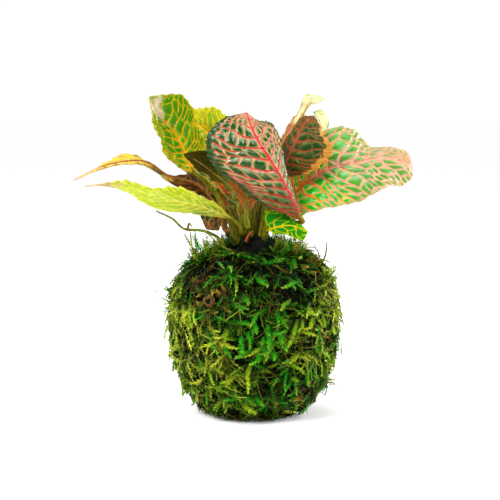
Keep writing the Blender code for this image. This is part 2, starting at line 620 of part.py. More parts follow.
def make_soil():
    """The soil and root ball, gap clear of the moss, with a mound and plain holes for the stems."""
    side_rows = inner_outline(MOSS_THICKNESS + 1.1 * GAP)
    mouth = side_rows[-1][0]
    mound = [(mouth - 0.2, MOSS_MOUTH_HEIGHT), (mouth * 0.75, SOIL_TOP - 2.5), (mouth * 0.4, SOIL_TOP - 0.6)]
    outline = [(0, MOSS_THICKNESS + GAP)] + side_rows + mound + [(0, SOIL_TOP)]
    vertices, faces = lathe(outline, BALL_SIDES)
    bm = orient_out(vertices, faces)
    mesh = bpy.data.meshes.new("soil_ball")
    bm.to_mesh(mesh)
    bm.free()
    mesh.materials.append(material("soil_ball", SOIL_BLACK, 0.95))
    soil = bpy.data.objects.new("soil_ball", mesh)
    bpy.context.collection.objects.link(soil)

    holes = bpy.data.collections.new("stem_holes")
    bpy.context.scene.collection.children.link(holes)
    for name, spec in STEMS.items():
        x, y, _ = spec["points"][0]
        r = spec["radius"][0] + GAP
        vertices, faces = hole_cutter(x, y, r, HOLE_BOTTOM)
        add_body(holes, name + "_hole", vertices, faces)
    x, y, _ = STUB_POINTS[0]
    vertices, faces = hole_cutter(x, y, STUB_RADIUS[0] + 2 * GAP, STUB_BOTTOM)
    add_body(holes, "stub_hole", vertices, faces)
    cut = soil.modifiers.new("planted", "BOOLEAN")
    cut.operation = "DIFFERENCE"
    cut.operand_type = "COLLECTION"
    cut.collection = holes
    cut.solver = "EXACT"
    bpy.context.view_layer.objects.active = soil
    bpy.ops.object.modifier_apply(modifier=cut.name)
    for obj in list(holes.objects):
        bpy.data.objects.remove(obj)
    bpy.data.collections.remove(holes)


def hole_cutter(x, y, radius, bottom):
    sides = STEM_SIDES
    vertices = []
    for z in (bottom, SOIL_TOP + 5):
        for k in range(sides):
            a = 2 * math.pi * (k + 0.5) / sides
            vertices.append((x + radius * math.cos(a), y + radius * math.sin(a), z))
    faces = [tuple(range(sides))[::-1], tuple(range(sides, 2 * sides))]
    faces += [(k, (k + 1) % sides, sides + (k + 1) % sides, sides + k) for k in range(sides)]
    return vertices, faces


def main():
    for obj in list(bpy.data.objects):
        bpy.data.objects.remove(obj)
    make_soil()
    make_moss()
    make_stems()
    for name, leaf in LEAVES.items():
        make_leaf(name, leaf)


main()
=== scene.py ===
"""A nerve plant (Fittonia) growing from a moss ball, dressed with living leaves, stems, soil and moss.

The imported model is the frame. Every finer piece here stands in the place of the solid that it is named
for. Lengths are in millimetres in the tables below, and the meshes are in metres.
"""
import math
import random

import bpy
import numpy as np
from bpy.props import FloatProperty, FloatVectorProperty, IntProperty, PointerProperty
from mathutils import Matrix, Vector


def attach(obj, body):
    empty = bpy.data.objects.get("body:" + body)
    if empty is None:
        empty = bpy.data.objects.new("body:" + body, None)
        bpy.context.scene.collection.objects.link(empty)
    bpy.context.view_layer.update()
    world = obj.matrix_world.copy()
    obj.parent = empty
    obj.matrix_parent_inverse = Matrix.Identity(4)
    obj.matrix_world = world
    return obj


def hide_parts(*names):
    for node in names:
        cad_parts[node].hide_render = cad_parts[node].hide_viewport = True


bl_info = {
    "name": "Nerve Plant in a Moss Ball",
    "version": (1, 0, 0),
    "blender": (4, 5, 0),
    "location": "View3D > Sidebar > Moss Ball",
    "description": "Adds the leaves, stems, soil and living moss of a nerve plant in a moss ball",
    "category": "Add Mesh",
}

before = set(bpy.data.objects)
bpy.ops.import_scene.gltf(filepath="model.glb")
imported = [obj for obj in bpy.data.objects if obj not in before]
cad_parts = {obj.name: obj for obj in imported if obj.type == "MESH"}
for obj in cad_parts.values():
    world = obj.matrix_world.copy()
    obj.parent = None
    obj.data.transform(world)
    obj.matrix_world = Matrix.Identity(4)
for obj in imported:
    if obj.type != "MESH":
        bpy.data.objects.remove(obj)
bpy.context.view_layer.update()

MM = 0.001

# The moss ball: radius and height pairs up its outside, its middle, and how thick the moss is
MOSS_OUTLINE = [(19, 0), (26, 3.5), (32.5, 10), (38.5, 21), (41.8, 33), (43.2, 45), (43.2, 56),
                (41.8, 65), (38.4, 73), (33, 79.5), (25.5, 84), (17.5, 86.5)]
BALL_MIDDLE = 44.0
MOSS_THICKNESS = 8

# How deep the mat lies under that outside, the radius of its mouth, and the top of the soil
MAT_DEPTH = 1.3
MOUTH_RADIUS = 14.5
SOIL_TOP = 91.0

# Seeds of the lumps, crumbs and bent runners, and the turn from one shoot's foot to the next
LUMP_SEED = 31
CRUMB_SEED = 12
RUNNER_SEED = 8
GOLDEN_ANGLE = math.pi * (3 - math.sqrt(5))

# Stems from the soil up, and the side shoots of each: radius at the foot, and points along it
STEM_FOOT = 80.0
STEM_TONES = ("4c4c06", "7c7810", "623a0c")
STEMS = {
    "stem_middle": dict(radius=(3.5, 2.2), points=[(-3, 0, 92), (-4, -1, 98), (-6, 0, 108), (-8, 4, 117)]),
    "stem_left": dict(radius=(2.5, 1.7), points=[(-9, -3, 92), (-11, -3, 98), (-14, 0, 107)]),
    "stem_right": dict(radius=(2.5, 1.6), points=[(4.5, 0, 92), (5, 1, 98), (6, 4, 107), (12, 9, 119)]),
    "stem_back": dict(radius=(2.3, 1.6), points=[(-2, 8, 92), (-1, 12, 98), (0, 18, 108), (1, 22, 122)]),
}
SPURS = {
    "stem_middle": [(1.0, [(-3, 2, 94), (-1, 4, 101), (1, 6, 110)]),
                    (1.3, [(-6, 2, 92), (-8, 4, 99), (-10, 6, 108)]),
                    (1.1, [(-1, -3, 92), (-1, -3, 99), (0, -2, 107)])],
    "stem_left": [(0.9, [(-9, -1, 93), (-12, 3, 99), (-15, 6, 106)]),
                  (1.3, [(-12, 5, 90), (-15, 8, 98), (-15, 9, 106)])],
    "stem_right": [(0.9, [(5, 3, 93), (8, 6, 99), (10, 9, 108)]),
                   (1.3, [(2, 3, 92), (3, 4, 99), (3, 5, 109)]),
                   (1.1, [(5, -5, 90), (6, -6, 98), (10, -7, 106)]),
                   (1.5, [(3, -2, 89), (4, -2, 98), (6, -2, 109)]),
                   (1.2, [(0, 1, 89), (1, 1, 98), (2, 2, 110)])],
    "stem_back": [(1.2, [(0, 10, 94), (3, 13, 100), (5, 15, 107), (6, 15, 113)]),
                  (1.4, [(-6, 9, 90), (-7, 11, 98), (-8, 13, 108)]),
                  (1.3, [(-6, 12, 94), (-11, 16, 103), (-17.5, 18.5, 113), (-19.5, 19, 116)]),
                  (1.3, [(-1, 12, 95), (1, 14, 103), (2.6, 14, 110), (3, 14, 115)])],
}
STUB_POINTS = [(-4, -7, 86), (-4, -7, 90), (-3, -8.5, 93), (-1, -9.5, 96)]
STUB_TONES = ("6a3418", "a8582c", "3a1c10")
STALK_GAP = 0.3

# Blades: their wall, where sheet and keel end along the rib, and how a blade bends between its curves
BLADE_THICKNESS = 0.55
RIM_THICKNESS = 0.3
BLADE_START = 0.012
BLADE_END = 0.994
KEEL_END = 0.86
SCALLOP = 0.025
VEIN_BEND = 0.07
RIB_SWEEP = 0.45
EDGE_WAVES = 3.0
SLOPE_STEP = 0.004

# Leaves with even halves: how far their edges lift, and their half width at four places along the rib
EDGE_LIFT = 0.25
EVEN_OUTLINE = ((0.06, 0.62), (0.3, 1.0), (0.6, 0.88), (0.86, 0.42))

# The vein net: half widths of its veins, the bounds of a distance from them, and how round its cells are
LATERAL_WIDTH = 0.5
CROSS_WIDTH = 0.34
RIB_WIDTH = 0.8
FAR = 12.0
NEAREST = 0.03
ROUNDING = 1.5

# The stage: the photograph's width in pixels, millimetres in each pixel, and how the camera stands
PHOTO_WIDTH = 500
PIXEL = 0.52
PHOTO_DISTANCE = 800
CAMERA_ELEVATION = math.radians(6)
CAMERA_TARGET = Vector((-0.00208, 0.0, 0.0855))
SENSOR_WIDTH = 36.0

# Each lamp's name, place, size and power
LAMPS = [("key", (-0.4, -0.5, 0.6), 0.3, 5.5), ("top", (0.05, 0.1, 0.9), 0.5, 5.0),
         ("right", (0.7, -0.35, 0.3), 0.5, 3.0), ("left_side", (-0.7, 0.2, 0.3), 0.35, 6.0),
         ("right_side", (0.7, 0.2, 0.3), 0.35, 7.0)]


# Curves and small helpers

def curve_point(points, where):
    """The points at the parameters where, 0 to 1, on a smooth curve through the given points."""
    p = np.asarray(points, float)
    steps = np.linalg.norm(np.diff(p, axis=0), axis=1)
    s = np.concatenate([[0.0], np.cumsum(steps)])
    s = s / s[-1]
    slope = np.empty_like(p)
    chord = np.diff(p, axis=0) / np.diff(s)[:, None]
    slope[0] = chord[0]
    slope[-1] = chord[-1]
    for i in range(1, len(p) - 1):
        before = s[i] - s[i - 1]
        after = s[i + 1] - s[i]
        slope[i] = (chord[i - 1] * after + chord[i] * before) / (before + after)
    where = np.asarray(where, float)
    k = np.clip(np.searchsorted(s, where, side="right") - 1, 0, len(p) - 2)
    h = (s[k + 1] - s[k])[..., None]
    x = (where - s[k])[..., None] / h
    return ((2 * x**3 - 3 * x**2 + 1) * p[k] + (x**3 - 2 * x**2 + x) * h * slope[k]
            + (3 * x**2 - 2 * x**3) * p[k + 1] + (x**3 - x**2) * h * slope[k + 1])


def unit(v):
    """The same direction with length 1."""
    return v / np.maximum(np.linalg.norm(v, axis=-1, keepdims=True), 1e-9)


def smooth(low, high, x):
    """A smooth rise from 0 at low to 1 at high."""
    t = np.clip((x - low) / (high - low), 0, 1)
    return t * t * (3 - 2 * t)


def srgb(code):
    """A linear colour from the six hexadecimal digits of a screen colour."""
    values = [int(code[i:i + 2], 16) / 255 for i in (0, 2, 4)]
    return tuple(v / 12.92 if v <= 0.04045 else ((v + 0.055) / 1.055) ** 2.4 for v in values) + (1.0,)


def around(radius, angle, height):
    """Points round the upright axis, from their radii, angles and heights."""
    return np.stack([radius * np.cos(angle), radius * np.sin(angle), height], 1)


def only(obj):
    """Selects this object alone and makes it the active one."""
    bpy.ops.object.select_all(action="DESELECT")
    obj.select_set(True)
    bpy.context.view_layer.objects.active = obj


def read_points(obj):
    """The places of an object's vertices, in metres."""
    co = np.empty(len(obj.data.vertices) * 3)
    obj.data.vertices.foreach_get("co", co)
    return co.reshape(-1, 3)


def write_points(obj, points):
    """Moves an object's vertices to these places, in metres."""
    obj.data.vertices.foreach_set("co", np.ascontiguousarray(points, dtype=np.float64).ravel())
    obj.data.update()


def write_values(obj, name, values):
    """Keeps three numbers for each vertex, for the materials to read."""
    layer = obj.data.attributes.new(name, "FLOAT_VECTOR", "POINT")
    layer.data.foreach_set("vector", np.ascontiguousarray(values, dtype=np.float32).ravel())


def shade_smooth(obj):
    """Shades the whole object smooth."""
    only(obj)
    bpy.ops.object.shade_smooth()


def apply_all(obj):
    """Applies every modifier of an object, in order."""
    only(obj)
    for modifier in list(obj.modifiers):
        bpy.ops.object.modifier_apply(modifier=modifier.name)


def join(first, *others):
    """Joins the other objects to the first one."""
    only(first)
    for obj in others:
        obj.select_set(True)
    bpy.ops.object.join()
    return first


def finish_piece(obj, name, replaced=()):
    """Names a finished piece and ties it to the frame."""
    obj.name = name
    obj.data.name = name
    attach(obj, "root")
    if replaced:
        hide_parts(*replaced)


def tube(points, radii, sides):
    """A round tube through points in millimetres, with its own radius at each."""
    data = bpy.data.curves.new("tube", "CURVE")
    data.dimensions = "3D"
    data.bevel_depth = MM
    data.bevel_resolution = max(sides // 4, 1)
    data.use_fill_caps = True
    spline = data.splines.new("POLY")
    spline.points.add(len(points) - 1)
    for place, centre, radius in zip(spline.points, points, radii):
        place.co = (*(float(c) * MM for c in centre), 1.0)
        place.radius = float(radius)
    obj = bpy.data.objects.new("tube", data)
    bpy.context.collection.objects.link(obj)
    only(obj)
    bpy.ops.object.convert(target="MESH")
    obj = bpy.context.active_object
    bpy.ops.object.shade_smooth_by_angle(angle=math.radians(60))
    return obj


def mesh_of(name, points, faces, values, mat):
    """A mesh object from many points in millimetres, triangles and the values that its material reads."""
    mesh = bpy.data.meshes.new(name)
    mesh.vertices.add(len(points))
    mesh.vertices.foreach_set("co", (np.asarray(points) * MM).ravel())
    mesh.loops.add(faces.size)
    mesh.loops.foreach_set("vertex_index", faces.ravel().astype(np.int32))
    mesh.polygons.add(len(faces))
    mesh.polygons.foreach_set("loop_start", np.arange(0, faces.size, 3, dtype=np.int32))
    mesh.polygons.foreach_set("use_smooth", np.ones(len(faces), dtype=bool))
    mesh.update(calc_edges=True)
    obj = bpy.data.objects.new(name, mesh)
    bpy.context.collection.objects.link(obj)
    for key, value in values.items():
        write_values(obj, key, value)
    mesh.materials.append(mat)
    return obj


# Shader building

class Signal:
    """A node's output that can stand in a sum like a number: each sign adds one Math node."""

    def __init__(self, wiring, socket):
        self.wiring = wiring
        self.socket = socket

    def __add__(self, other):
        return self.wiring.math("ADD", self, other)

    def __sub__(self, other):
        return self.wiring.math("SUBTRACT", self, other)

    def __rsub__(self, other):
        return self.wiring.math("SUBTRACT", other, self)

    def __mul__(self, other):
        return self.wiring.math("MULTIPLY", self, other)

    def __truediv__(self, other):
        return self.wiring.math("DIVIDE", self, other)

    def __pow__(self, other):
        return self.wiring.math("POWER", self, other)

    def __gt__(self, other):
        return self.wiring.math("GREATER_THAN", self, other)

    def __abs__(self):
        return self.wiring.math("ABSOLUTE", self)

    __radd__ = __add__
    __rmul__ = __mul__


class Wiring:
    """Adds nodes to a tree in a few words, and gives back what they put out as signals."""

    def __init__(self, tree):
        self.tree = tree
        self.column = 0

    def node(self, kind, **settings):
        """A new node, set out in rows."""
        made = self.tree.nodes.new(kind)
        made.location = (self.column * 30 % 1800, -(self.column // 60) * 260)
        self.column += 1
        for key, value in settings.items():
            setattr(made, key, value)
        return made

    def put(self, socket, value):
        """Feeds an input with a signal, a value or the six digits of a screen colour."""
        if isinstance(value, Signal):
            self.tree.links.new(value.socket, socket)
        else:
            socket.default_value = srgb(value) if isinstance(value, str) else value

    def fill(self, node, values):
        """Feeds a node's inputs, each by its name or number."""
        for key, value in values.items():
            self.put(node.inputs[key], value)

    def add(self, kind, values=None, output=0, **settings):
        """A new node with its inputs filled, by name or number, and one of its outputs."""
        made = self.node(kind, **settings)
        self.fill(made, values or {})
        return Signal(self, made.outputs[output])

    def math(self, operation, *values):
        """A Math node's result. The methods after it go by numpy's names, so that one net serves both."""
        return self.add("ShaderNodeMath", dict(enumerate(values)), operation=operation)

    def sin(self, value):
        return self.math("SINE", value)

    def floor(self, value):
        return self.math("FLOOR", value)

    def round(self, value):
        return self.math("ROUND", value)

    def minimum(self, a, b):
        return self.math("MINIMUM", a, b)

    def maximum(self, a, b):
        return self.math("MAXIMUM", a, b)

    def step(self, value, low, high, start=0.0, end=1.0):
        """A smooth rise of value from low to high."""
        values = dict(enumerate((value, low, high, start, end)))
        return self.add("ShaderNodeMapRange", values, interpolation_type="SMOOTHSTEP")

    def mix(self, factor, a, b, blend="MIX"):
        """The colour a, mixed with b by the factor."""
        values = {0: factor, 6: a, 7: b}
        return self.add("ShaderNodeMix", values, 2, data_type="RGBA", blend_type=blend)

    def ramp(self, value, stops):
        """Colours along a value, from stops of a place and a screen colour."""
        made = self.node("ShaderNodeValToRGB")
        elements = made.color_ramp.elements
        while len(elements) < len(stops):
            elements.new(0.5)
        for element, (place, colour) in zip(elements, stops):
            element.position = place
            element.color = srgb(colour)
        self.put(made.inputs[0], value)
        return Signal(self, made.outputs[0])

    def place(self):
        """The place on the object, in metres."""
        return self.add("ShaderNodeTexCoord", output="Object")

    def noise(self, scale, detail, roughness, place=None):
        """Noise over the object's own place, with scale in features per metre."""
        return self.add("ShaderNodeTexNoise", {"Vector": place or self.place(), "Scale": scale,
                                               "Detail": detail, "Roughness": roughness})

    def attribute(self, name):
        """The three numbers that the mesh keeps for each vertex."""
        made = self.add("ShaderNodeAttribute", output="Vector", attribute_name=name)
        split = self.node("ShaderNodeSeparateXYZ")
        self.put(split.inputs[0], made)
        return [Signal(self, output) for output in split.outputs]

    def bump(self, height, strength, distance, **more):
        """A normal that follows a height."""
        values = {"Height": height, "Strength": strength, "Distance": distance}
        return self.add("ShaderNodeBump", {**values, **more})


def new_material(name):
    """A material with a Principled shader, and the wiring that feeds it."""
    mat = bpy.data.materials.new(name)
    mat.use_nodes = True
    shader = mat.node_tree.nodes["Principled BSDF"]
    shader.location = (2200, 0)
    mat.node_tree.nodes["Material Output"].location = (2500, 0)
    return mat, shader, Wiring(mat.node_tree)


# The vein net

def nearest_of(kit, *distances):
    """A rounded least of several distances, so that cells have round corners."""
    return sum(kit.maximum(d, NEAREST) ** -ROUNDING for d in distances) ** (-1 / ROUNDING)


def vein_net(kit, rise, place, spans, seed, cells):
    """How far a place lies from the main veins and from any vein, with 1 at the side of the vein.

    The third value runs across a strip from 0 to 1, or to 2 where a fork parts it.
    """
    u, across, along = place
    span_u, span_v = spans
    v = abs(across)

    # Side veins wander a little, and get thinner towards the edge and the tip
    bent = u + 0.16 * kit.sin(6.5 * v + 1.9 * u + seed) * kit.minimum(1.0, 4 * v)
    strip = kit.floor(bent)
    f = bent - strip
    width = LATERAL_WIDTH * (1 - 0.45 * v) * (1 - 0.3 * along)
    lateral = kit.minimum(f, 1 - f)
    lateral = kit.maximum(lateral * span_u / width, lateral / 0.22)
    rib = v * span_v / (RIB_WIDTH * (1 - 0.65 * along))

    # Cross veins part each strip into cells, in rows that differ from strip to strip
    row = v * cells + 0.45 * kit.sin(2.4 * strip + 5 * (across > 0) + seed)
    row = row + 0.6 * (f - 0.5) * kit.sin(3.7 * strip + seed)
    m = abs(row - kit.round(row))
    cross = kit.maximum(m * span_v / cells / CROSS_WIDTH, m / 0.3)

    # Further out a strip forks, and the far edge bounds the distance in the widest cells
    fork = rise(0.45, 0.7, v + 0.2 * kit.sin(1.7 * strip + seed))
    half = abs(f - 0.5)
    half = kit.maximum(half * span_u / width, half / 0.3) + (1 - fork) * FAR
    edge = abs(v - 0.93) * span_v / CROSS_WIDTH + FAR
    main = nearest_of(kit, lateral, rib, half)
    return main, nearest_of(kit, main, cross, edge), f * (1 + fork)


def vein_net_group():
    """The net as a node group that all leaves share."""
    name = "vein_net"
    if name in bpy.data.node_groups:
        return bpy.data.node_groups[name]
    tree = bpy.data.node_groups.new(name, "ShaderNodeTree")
    for key in ("Seed", "Cells"):
        tree.interface.new_socket(key, in_out="INPUT", socket_type="NodeSocketFloat")
    for key in ("Main", "Net", "Across", "Along", "Underside", "Painted_Light_Lean"):
        tree.interface.new_socket(key, in_out="OUTPUT", socket_type="NodeSocketFloat")
    w = Wiring(tree)
    given = w.node("NodeGroupInput").outputs
    result = w.node("NodeGroupOutput")
    place = w.attribute("leaf_place")
    *spans, under = w.attribute("leaf_scale")
    seed, cells = Signal(w, given[0]), Signal(w, given[1])
    main, net, lean = vein_net(w, lambda low, high, x: w.step(x, low, high), place, spans, seed, cells)
    w.fill(result, {"Main": main, "Net": net, "Across": abs(place[1]), "Along": place[2],
                    "Underside": under, "Painted_Light_Lean": w.math("FRACT", lean)})
    return tree


def net_ramp(w, net, main, colours):
    """Colours from the middle of a main vein out to the middle of a cell."""
    core, vein, halo, light, deep = colours
    web = w.ramp(net, [(0.0, halo), (0.3, halo), (0.5, light), (0.72, deep), (1.0, deep)])
    web = w.mix(w.step(main, 0.25, 0.62, 1.0, 0.0), web, vein)
    return w.mix(w.step(main, 0.1, 0.36, 1.0, 0.0), web, core)


def leaf_material(name, look):
    """A quilted leaf: its net of veins, cells that change from base to tip, rim and paler underside."""
    mat, shader, w = new_material(name)
    group = w.node("ShaderNodeGroup", node_tree=vein_net_group())
    w.fill(group, {"Seed": look["seed"], "Cells": look["cells"]})
    main, net, across, along, under, lean = [Signal(w, output) for output in group.outputs]
    fleck = w.noise(900.0, 4.0, 0.6)
    drift = w.noise(110.0, 3.0, 0.5)
    ragged = w.noise(650.0, 3.0, 0.6) * 1.1 + 0.45
    net = net * ragged / look["spread"]
    # Painted light and shade: each cell is paler on its tip side and darker on its base side
    net = net + (0.5 - lean) * look["lean"] * w.step(net, 0.2, 0.6)
    main = main * ragged / look["vein"]
    turn = w.step(along + drift * 0.7 - 0.35, *look["turn"])
    top = w.mix(turn, net_ramp(w, net, main, look["net"]), net_ramp(w, net, main, look["tip_net"]))
    # A painted highlight: a pale patch on the tip side of each cell, where the lamps' glare would fall
    frost = w.step(lean, 0.4, 0.85) * w.step(net, 0.3, 0.75) * w.step(w.noise(300.0, 2.0, 0.5), 0.35, 0.6)
    top = w.mix(frost * look["frost"], top, look["frosted"])
    if look["band"]:
        low, high, tone, weight = look["band"]
        band = w.step(along + drift * 0.3 - 0.15, low, high) * weight
        top = w.mix(band, top, tone)
    outer = across + (1 - along) * look["rim_spread"] + w.noise(420.0, 4.0, 0.7) * 0.34 - 0.17
    rim = w.step(outer, look["rim_from"], look["rim_from"] + 0.06) * look["rim_weight"]
    top = w.mix(rim, top, look["rim"])
    back = net_ramp(w, net, main, look["back_net"])
    if look["back_tip"]:
        back = w.mix(turn, back, net_ramp(w, net, main, look["back_tip"]))
    if look["band"]:
        back = w.mix(band, back, tone)
    colour = w.mix(under, top, back)
    shade = w.noise(380.0, 4.0, 0.65) + 0.5
    grey = w.add("ShaderNodeCombineColor", {0: shade, 1: shade, 2: shade})
    groove = w.step(net, 0.0, 0.5) * (1 - under * 2)
    w.fill(shader, {
        "Base Color": w.mix(0.85, colour, w.mix(1.0, colour, grey, "MULTIPLY")),
        "Roughness": fleck * 0.25 + rim * 0.12 + look["roughness"] + under * 0.12,
        "Specular IOR Level": look["shine"], "Subsurface Weight": 0.1, "Subsurface Radius": (0.9, 1.0, 0.3),
        "Subsurface Scale": 0.0015,
        "Normal": w.bump(groove, 0.6, 0.0004, Normal=w.bump(fleck, 0.2, 0.0002))})
    return mat


def stalk_material(name, low, high, blush):
    """A leaf stalk or stem: streaked along its length, blushed in patches and slightly glossy."""
    mat, shader, w = new_material(name)
    stretched = w.add("ShaderNodeMapping", {"Vector": w.place(), "Scale": (1.0, 1.0, 0.18)})
    streak = w.noise(1500.0, 3.0, 0.6, stretched)
    patch = w.noise(140.0, 2.0, 0.5)
    colour = w.mix(w.step(streak, 0.4, 0.6), low, high)
    w.fill(shader, {
        "Base Color": w.mix(w.step(patch, 0.52, 0.72, 0.0, 0.75), colour, blush),
        "Roughness": streak * 0.3 + 0.3, "Specular IOR Level": 0.1,
        "Subsurface Weight": 0.2, "Subsurface Radius": (1.0, 0.9, 0.3), "Subsurface Scale": 0.001,
        "Normal": w.bump(streak, 0.5, 0.0003)})
    return mat


# Leaves: the curves of each blade and the colours of its net

def leaf_spec(stem, height, base, tip, left, rib, right, stalk, pairs=6, swell=(0.05, 0.05), wave=0.8,
              stalk_radius=1.25, **look):
    """A leaf from three curves between its base and its tip: left edge, rib and right edge."""
    return dict(stem=stem, height=height, left=[base, *left, tip], rib=[base, *rib, tip],
                right=[base, *right, tip], stalk=stalk, pairs=pairs, swell=swell, wave=wave,
                stalk_radius=stalk_radius, look=look)


def spread_leaf(stem, height, base, tip, arch, up, half_width, stalk, **more):
    """A leaf with even halves, whose rib arches over between its base and its tip."""
    base = np.asarray(base, float)
    tip = np.asarray(tip, float)
    forward = unit(tip - base)
    up = unit(np.asarray(up, float) - (np.asarray(up, float) @ forward) * forward)
    right = np.cross(forward, up)
    rib = [base + (tip - base) * t + up * arch * 4 * t * (1 - t) for t in (0.33, 0.67)]
    edges = []
    for sign in (-1, 1):
        edge = []
        for t, width in EVEN_OUTLINE:
            on_rib = base + (tip - base) * t + up * arch * 4 * t * (1 - t)
            edge.append(on_rib + (right * sign + up * EDGE_LIFT) * half_width * width)
        edges.append(edge)
    return leaf_spec(stem, height, base, tip, edges[0], rib, edges[1], stalk, **more)


# Net colours run from the middle of a vein to the middle of a cell
RED_ON_GREEN = ("b4141f", "c03c3c", "bc845c", "547424", "0c4004")
RED_ON_SHADE = ("ac1420", "943424", "54541c", "205808", "063003")
RED_ON_DEEP = ("b01420", "ac3028", "945a3c", "245416", "042c06")
ORANGE_ON_GREEN = ("e8500c", "e07020", "a8a03c", "48ac1c", "087408")
CORAL_ON_GREEN = ("fc7428", "ec7824", "c4a03c", "64c428", "1ca40c")
ORANGE_ON_DEEP = ("c04c14", "94400c", "50500a", "1c4c08", "082c04")
SALMON_ON_PALE = ("f4b494", "d47064", "cc9878", "a09c5c", "4c8c2c")
GOLD_ON_GREEN = ("dc980c", "c8a80a", "a0a808", "74a006", "448400")
GOLD_ON_LEAF = ("e0ac0c", "ccb80a", "8cac06", "409c04", "147802")
GOLD_ON_YELLOW = ("e89c0c", "dcb80c", "c4bc08", "9cb008", "749c08")
# Dark olives for the small leaf: painted shade, as it lies in the shade of the front leaf
OLIVE_IN_PAINTED_SHADE = ("3d3600", "393300", "352f00", "312b00", "2b2600")
PALER_OLIVE_IN_PAINTED_SHADE = ("585204", "544e04", "504a02", "484201", "3c3800")
BROWN_BACK = ("8c5010", "703c08", "583004", "442402", "301800")
BRONZE_BACK = ("b06a24", "a05c18", "8c4c10", "7c440c", "6c3c08")
GOLD_BACK = ("c8785c", "cc8a50", "d0a458", "ccb044", "c0b030")
YELLOW_BACK = ("ece058", "dcd83c", "c8cc28", "b8c418", "a4bc0c")
OLIVE_NET = ("d4bc3c", "b8b024", "909c14", "688408", "487004")
PALE_BACK = ("a8a04c", "989c30", "789020", "588010", "3c700c")
RED_ON_BROWN = ("944428", "7c4018", "5c400c", "3c4404", "143804")
PINK_ON_BROWN = ("bc7458", "ac6844", "946038", "84602c", "6c5c1c")
# Pale pink painted glare, for the curled tip of the upper left leaf
PAINTED_GLARE = ("e0b8a0", "e0c0a8", "e4ccb4", "dcccac", "c8c898")
CREAM = ("b8c07c", "c4cc88", "d0d898", "dce0ac", "e4e4bc")

# The looks that a leaf has where it gives none of its own: colours, then rim, net, relief and mesh
# Among these looks are each cell's painted highlight and its painted paler and darker sides
LOOK_DEFAULTS = dict(
    net=RED_ON_GREEN, tip_net=RED_ON_GREEN, back_net=PALE_BACK, back_tip=None, turn=(0.2, 0.8), band=None,
    frost=0.0, frosted="a8c48c", stalk_tones=("5c5c0a", "8c8818", "7a4414"), roughness=0.38, shine=0.2,
    rim="1c5a28", rim_weight=0.8, rim_from=0.925, rim_spread=0.0, seed=1.0, cells=3.0, laterals=10,
    spread=3.2, vein=3.0, lean=0.45, vein_sweep=0.1, teeth=0.3, rise=0.55, sink=0.3, rows=64, columns=48)

